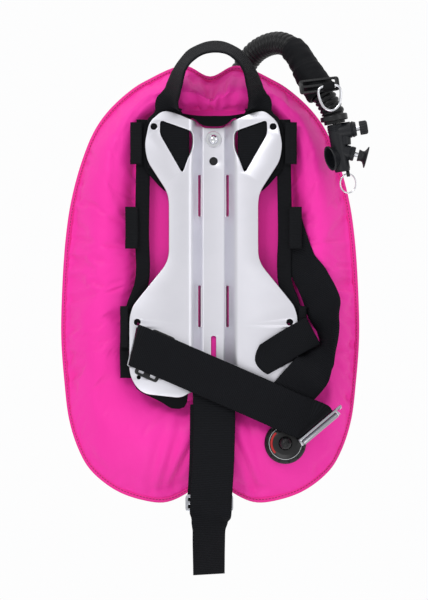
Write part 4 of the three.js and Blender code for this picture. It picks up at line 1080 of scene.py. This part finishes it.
def inflator_body():
    """Barrel, valve, vent, mouthpiece and lug, each turned about its own axis."""
    up, across = infl_dir(0, 0, 1), infl_dir(1, 0, 0)
    barrel = [(0, -1.0), (9.2, -1.0), (9.6, -2)]
    for k in range(3):  # grip rings where the hose is pushed on
        top = -2.6 - k * 2.6
        barrel += [(9.6, top), (10.2, top - 0.5), (10.2, top - 1.5), (9.6, top - 2)]
    barrel += [(9.6, -12), (9.3, -24), (9.5, -40), (9.6, -55), (9.0, -56), (9.0, -57.2), (8.2, -58), (0, -58)]
    valve = [(0, -6), (9.0, -6), (9.8, -4), (9.8, 15.4), (9.0, 16.2), (9.0, 17.0), (9.8, 17.8), (8.2, 22.0),
             (3.4, 22.0), (3.4, 9), (0, 9)]
    vent = [(0, 0), (8.6, 0), (8.6, 12.4), (8.0, 13.0), (8.0, 13.8), (8.6, 14.4), (8.6, 18), (8.0, 19),
            (3.4, 19), (3.4, 8), (0, 8)]
    block = [(0, 0), (6.4, 0), (7.2, 1), (7.2, 13), (6.4, 14), (0, 14)]
    mouth = [(0, 0), (7.4, 0), (8.2, 6), (9.6, 12), (10.6, 13.4), (10.6, 14.8), (9.8, 15.4), (8.9, 14.8),
             (8.2, 12), (7.0, 4), (0, 3.4)]
    lug = [(3.4, -2), (3.8, -1.5), (3.8, 1.5), (3.4, 2), (2.0, 2), (1.9, 0), (2.0, -2)]
    turned = (
        (barrel, 48, (0, 0, 0), up, None), (valve, 44, (2, 0, -10), across, None),
        (vent, 40, (0, 0, -32), VENT_AXIS, None), (block, 28, (8, 0, -27), infl_dir(0.1, 0, 1), None),
        (mouth, 48, (-2, -2.5, -39.5), infl_dir(-0.72, -0.66, -0.06), (0.82, 1.42)),
        (lug, 28, (6, 0, -61.3), across, None))
    pieces = [lathe(profile, sides, infl(*at), axis, "turned", squash)
              for profile, sides, at, axis, squash in turned]
    obj = joined(pieces, "look_inflator_body")
    return place(obj, PLASTIC, "black_plastic", "inflator_body")


inflator_body()


def knurled(name, profile, count, depth, centre, axis, sides, first, last):
    """A turned cap with grip ribs between two heights."""
    obj = lathe(profile, sides, centre, axis, name, sharp=50)
    a = unit(np.array(axis))
    c = np.array(centre)
    ref = unit(np.cross(a, (0.1, 1.0, 0.2)))
    other = np.cross(a, ref)
    for v in obj.data.vertices:
        p = np.array(v.co) / MM - c
        h = float(np.dot(p, a))
        radial = p - a * h
        r = np.linalg.norm(radial)
        if first <= h <= last and r > 5:
            angle = math.atan2(float(np.dot(radial, other)), float(np.dot(radial, ref)))
            sunk = r - depth * (0.5 - 0.5 * math.cos(count * angle))
            v.co = Vector((c + a * h + radial * (sunk / r)) * MM)
    return obj


INFLATE_CAP = [(0, 0), (7.9, 0), (8.4, 0.5), (8.4, 3), (8.4, 7.6), (7.6, 8.8), (6.3, 9.5), (0, 9.5)]
inflate = knurled("look_inflate_button", INFLATE_CAP, 16, 0.8, infl(28.3, 0, -10), infl_dir(1, 0, 0), 96,
                  0.4, 7.7)
place(inflate, RUBBER, "rubber", "inflate_button", body="inflate_button")
DEFLATE_CAP = [(0, 0), (6.8, 0), (7.2, 0.5), (6.3, 4), (6.7, 6.3), (9.8, 8.2), (12.6, 9.4), (13, 10),
               (12.8, 10.8), (11.6, 11), (6, 10.0), (0, 9.7)]
deflate = lathe(DEFLATE_CAP, 48, infl(0, 0, -32) + VENT_AXIS * 23.3, VENT_AXIS, "look_deflate_button",
                sharp=60)
place(deflate, RUBBER, "rubber", "deflate_button", body="deflate_button")

# ---------- dump valve
DUMP = np.array((85.8, -17.8816, -223.8))
TO_DIVER = (0, -1, 0)
DUMP_BODY = [(10, -20), (15.8, -20), (15.8, 0), (24.4, 0), (25, 0.6), (25, 2.4), (24.4, 3), (10, 3),
             (10, -20)]
body = lathe(DUMP_BODY, 64, DUMP, TO_DIVER, "look_dump_body")
place(body, DARK_PLASTIC, "black_plastic", "dump_valve_body")


def around_dump(radius, depth, angles):
    """Points of a circle round the valve's axis, some way toward the diver."""
    return [DUMP + np.array((radius * math.cos(a), -depth, radius * math.sin(a))) for a in angles]


def dump_cover():
    """Domed cover with low grip ribs and an open middle for the knob's stem."""
    base = 3.3
    profile = [(22.5, 0), (24.0, 0), (24.5, 0.5), (24.5, 1.6), (23.8, 2.6), (20.9, 5.6), (20.2, 6.0),
               (14.4, 8.5), (13.6, 8.6), (8.2, 8.6), (7.6, 8.0), (7.6, 7), (13.4, 7), (18.5, 4.6),
               (22.5, 1.4), (22.5, 0)]
    cover = lathe([(r, base + h) for r, h in profile], 72, DUMP, TO_DIVER, "cover")
    pieces = [cover]
    for at in around_dump(23.2, base + 2.4, turn(12) + 0.2):
        pieces.append(lathe([(0, 0), (1.3, 0), (1.3, 1.6), (0.9, 2.1), (0, 2.1)], 14, at, TO_DIVER, "grip"))
    return place(joined(pieces, "look_dump_cover"), DARK_PLASTIC, "black_plastic", "dump_valve_cover")


dump_cover()
line = tube("look_dump_line", around_dump(19.4, 9.5, turn(96)), 0.32, 8, closed=True)
place(line, principled("pale_line", (200, 202, 206), 0.6)[0], "black_plastic")
mark = tube("look_dump_mark", around_dump(16.6, 11.35, np.linspace(2.3, 3.9, 40)), 1.3, 10, squash=0.3)
place(mark, principled("red_mark", (176, 22, 26), 0.6)[0], "black_plastic")
KNOB = [(0, 3.3), (2, 3.3), (2, 11.8), (3.4, 12.4), (5.4, 14.2), (6.7, 16.6), (7.0, 19.3), (6.6, 21.8),
        (5.4, 24.0), (3.4, 25.6), (1.4, 26.2), (0, 26.3)]
knob = lathe(KNOB, 40, DUMP, TO_DIVER, "knob", sharp=60)
cage = [knob]
RIB_RADIUS, RIB_MIDDLE = 7.15, 19.3
for a in turn(6):  # ribs over the knob, each an arc from its neck to its top
    arc = []
    for t in np.linspace(-0.9, 1.35, 16):
        out = RIB_RADIUS * math.cos(t)
        deep = -RIB_MIDDLE - RIB_RADIUS * math.sin(t)
        arc.append(DUMP + np.array((out * math.cos(a), deep, out * math.sin(a))))
    cage.append(tube("rib", arc, 0.7, 10))
place(joined(cage, "look_dump_knob"), DARK_PLASTIC, "black_plastic", "dump_knob", body="dump_knob")

# ---------- points along the hose's centreline, every third, in metres; computed and not used
[tuple(p * MM) for p in hose_pts[::3]]

# ---------- surroundings and light
def surroundings():
    """A white studio: bright behind the object, dimmer on the diver's side. Depends on direction only."""
    world = bpy.data.worlds.new("studio")
    bpy.context.scene.world = world
    world.use_nodes = True
    tree = world.node_tree
    direction = tree.nodes.new("ShaderNodeTexCoord").outputs["Generated"]
    split = tree.nodes.new("ShaderNodeSeparateXYZ")
    tree.links.new(direction, split.inputs["Vector"])
    ramp = tree.nodes.new("ShaderNodeMapRange")
    ramp.interpolation_type = "SMOOTHSTEP"
    for name, value in (("From Min", -0.1), ("From Max", 0.5), ("To Min", 0.73), ("To Max", 1.0)):
        ramp.inputs[name].default_value = value
    tree.links.new(split.outputs["Y"], ramp.inputs["Value"])
    background = tree.nodes["Background"]
    background.inputs["Color"].default_value = (0.982, 0.982, 0.985, 1.0)
    tree.links.new(ramp.outputs["Result"], background.inputs["Strength"])


surroundings()


def area(name, at, to, size, power):
    """A square light at a place, turned to a point."""
    data = bpy.data.lights.new(name, "AREA")
    data.shape = "SQUARE"
    data.size = size
    data.energy = power
    obj = linked(name, data)
    obj.location = at
    obj.rotation_euler = (Vector(to) - Vector(at)).to_track_quat("-Z", "Y").to_euler()


area("key", (-1.0, -1.9, 1.3), (0, 0, -0.02), 0.8, 18)
area("fill", (1.7, -1.5, 0.2), (0, 0, -0.05), 1.0, 5)
area("low", (-0.2, -1.5, -1.3), (0, 0, -0.15), 1.0, 8)
area("top", (0.1, -0.2, 1.8), (0, 0, 0), 0.9, 6)
bpy.context.scene.view_settings.view_transform = "Standard"
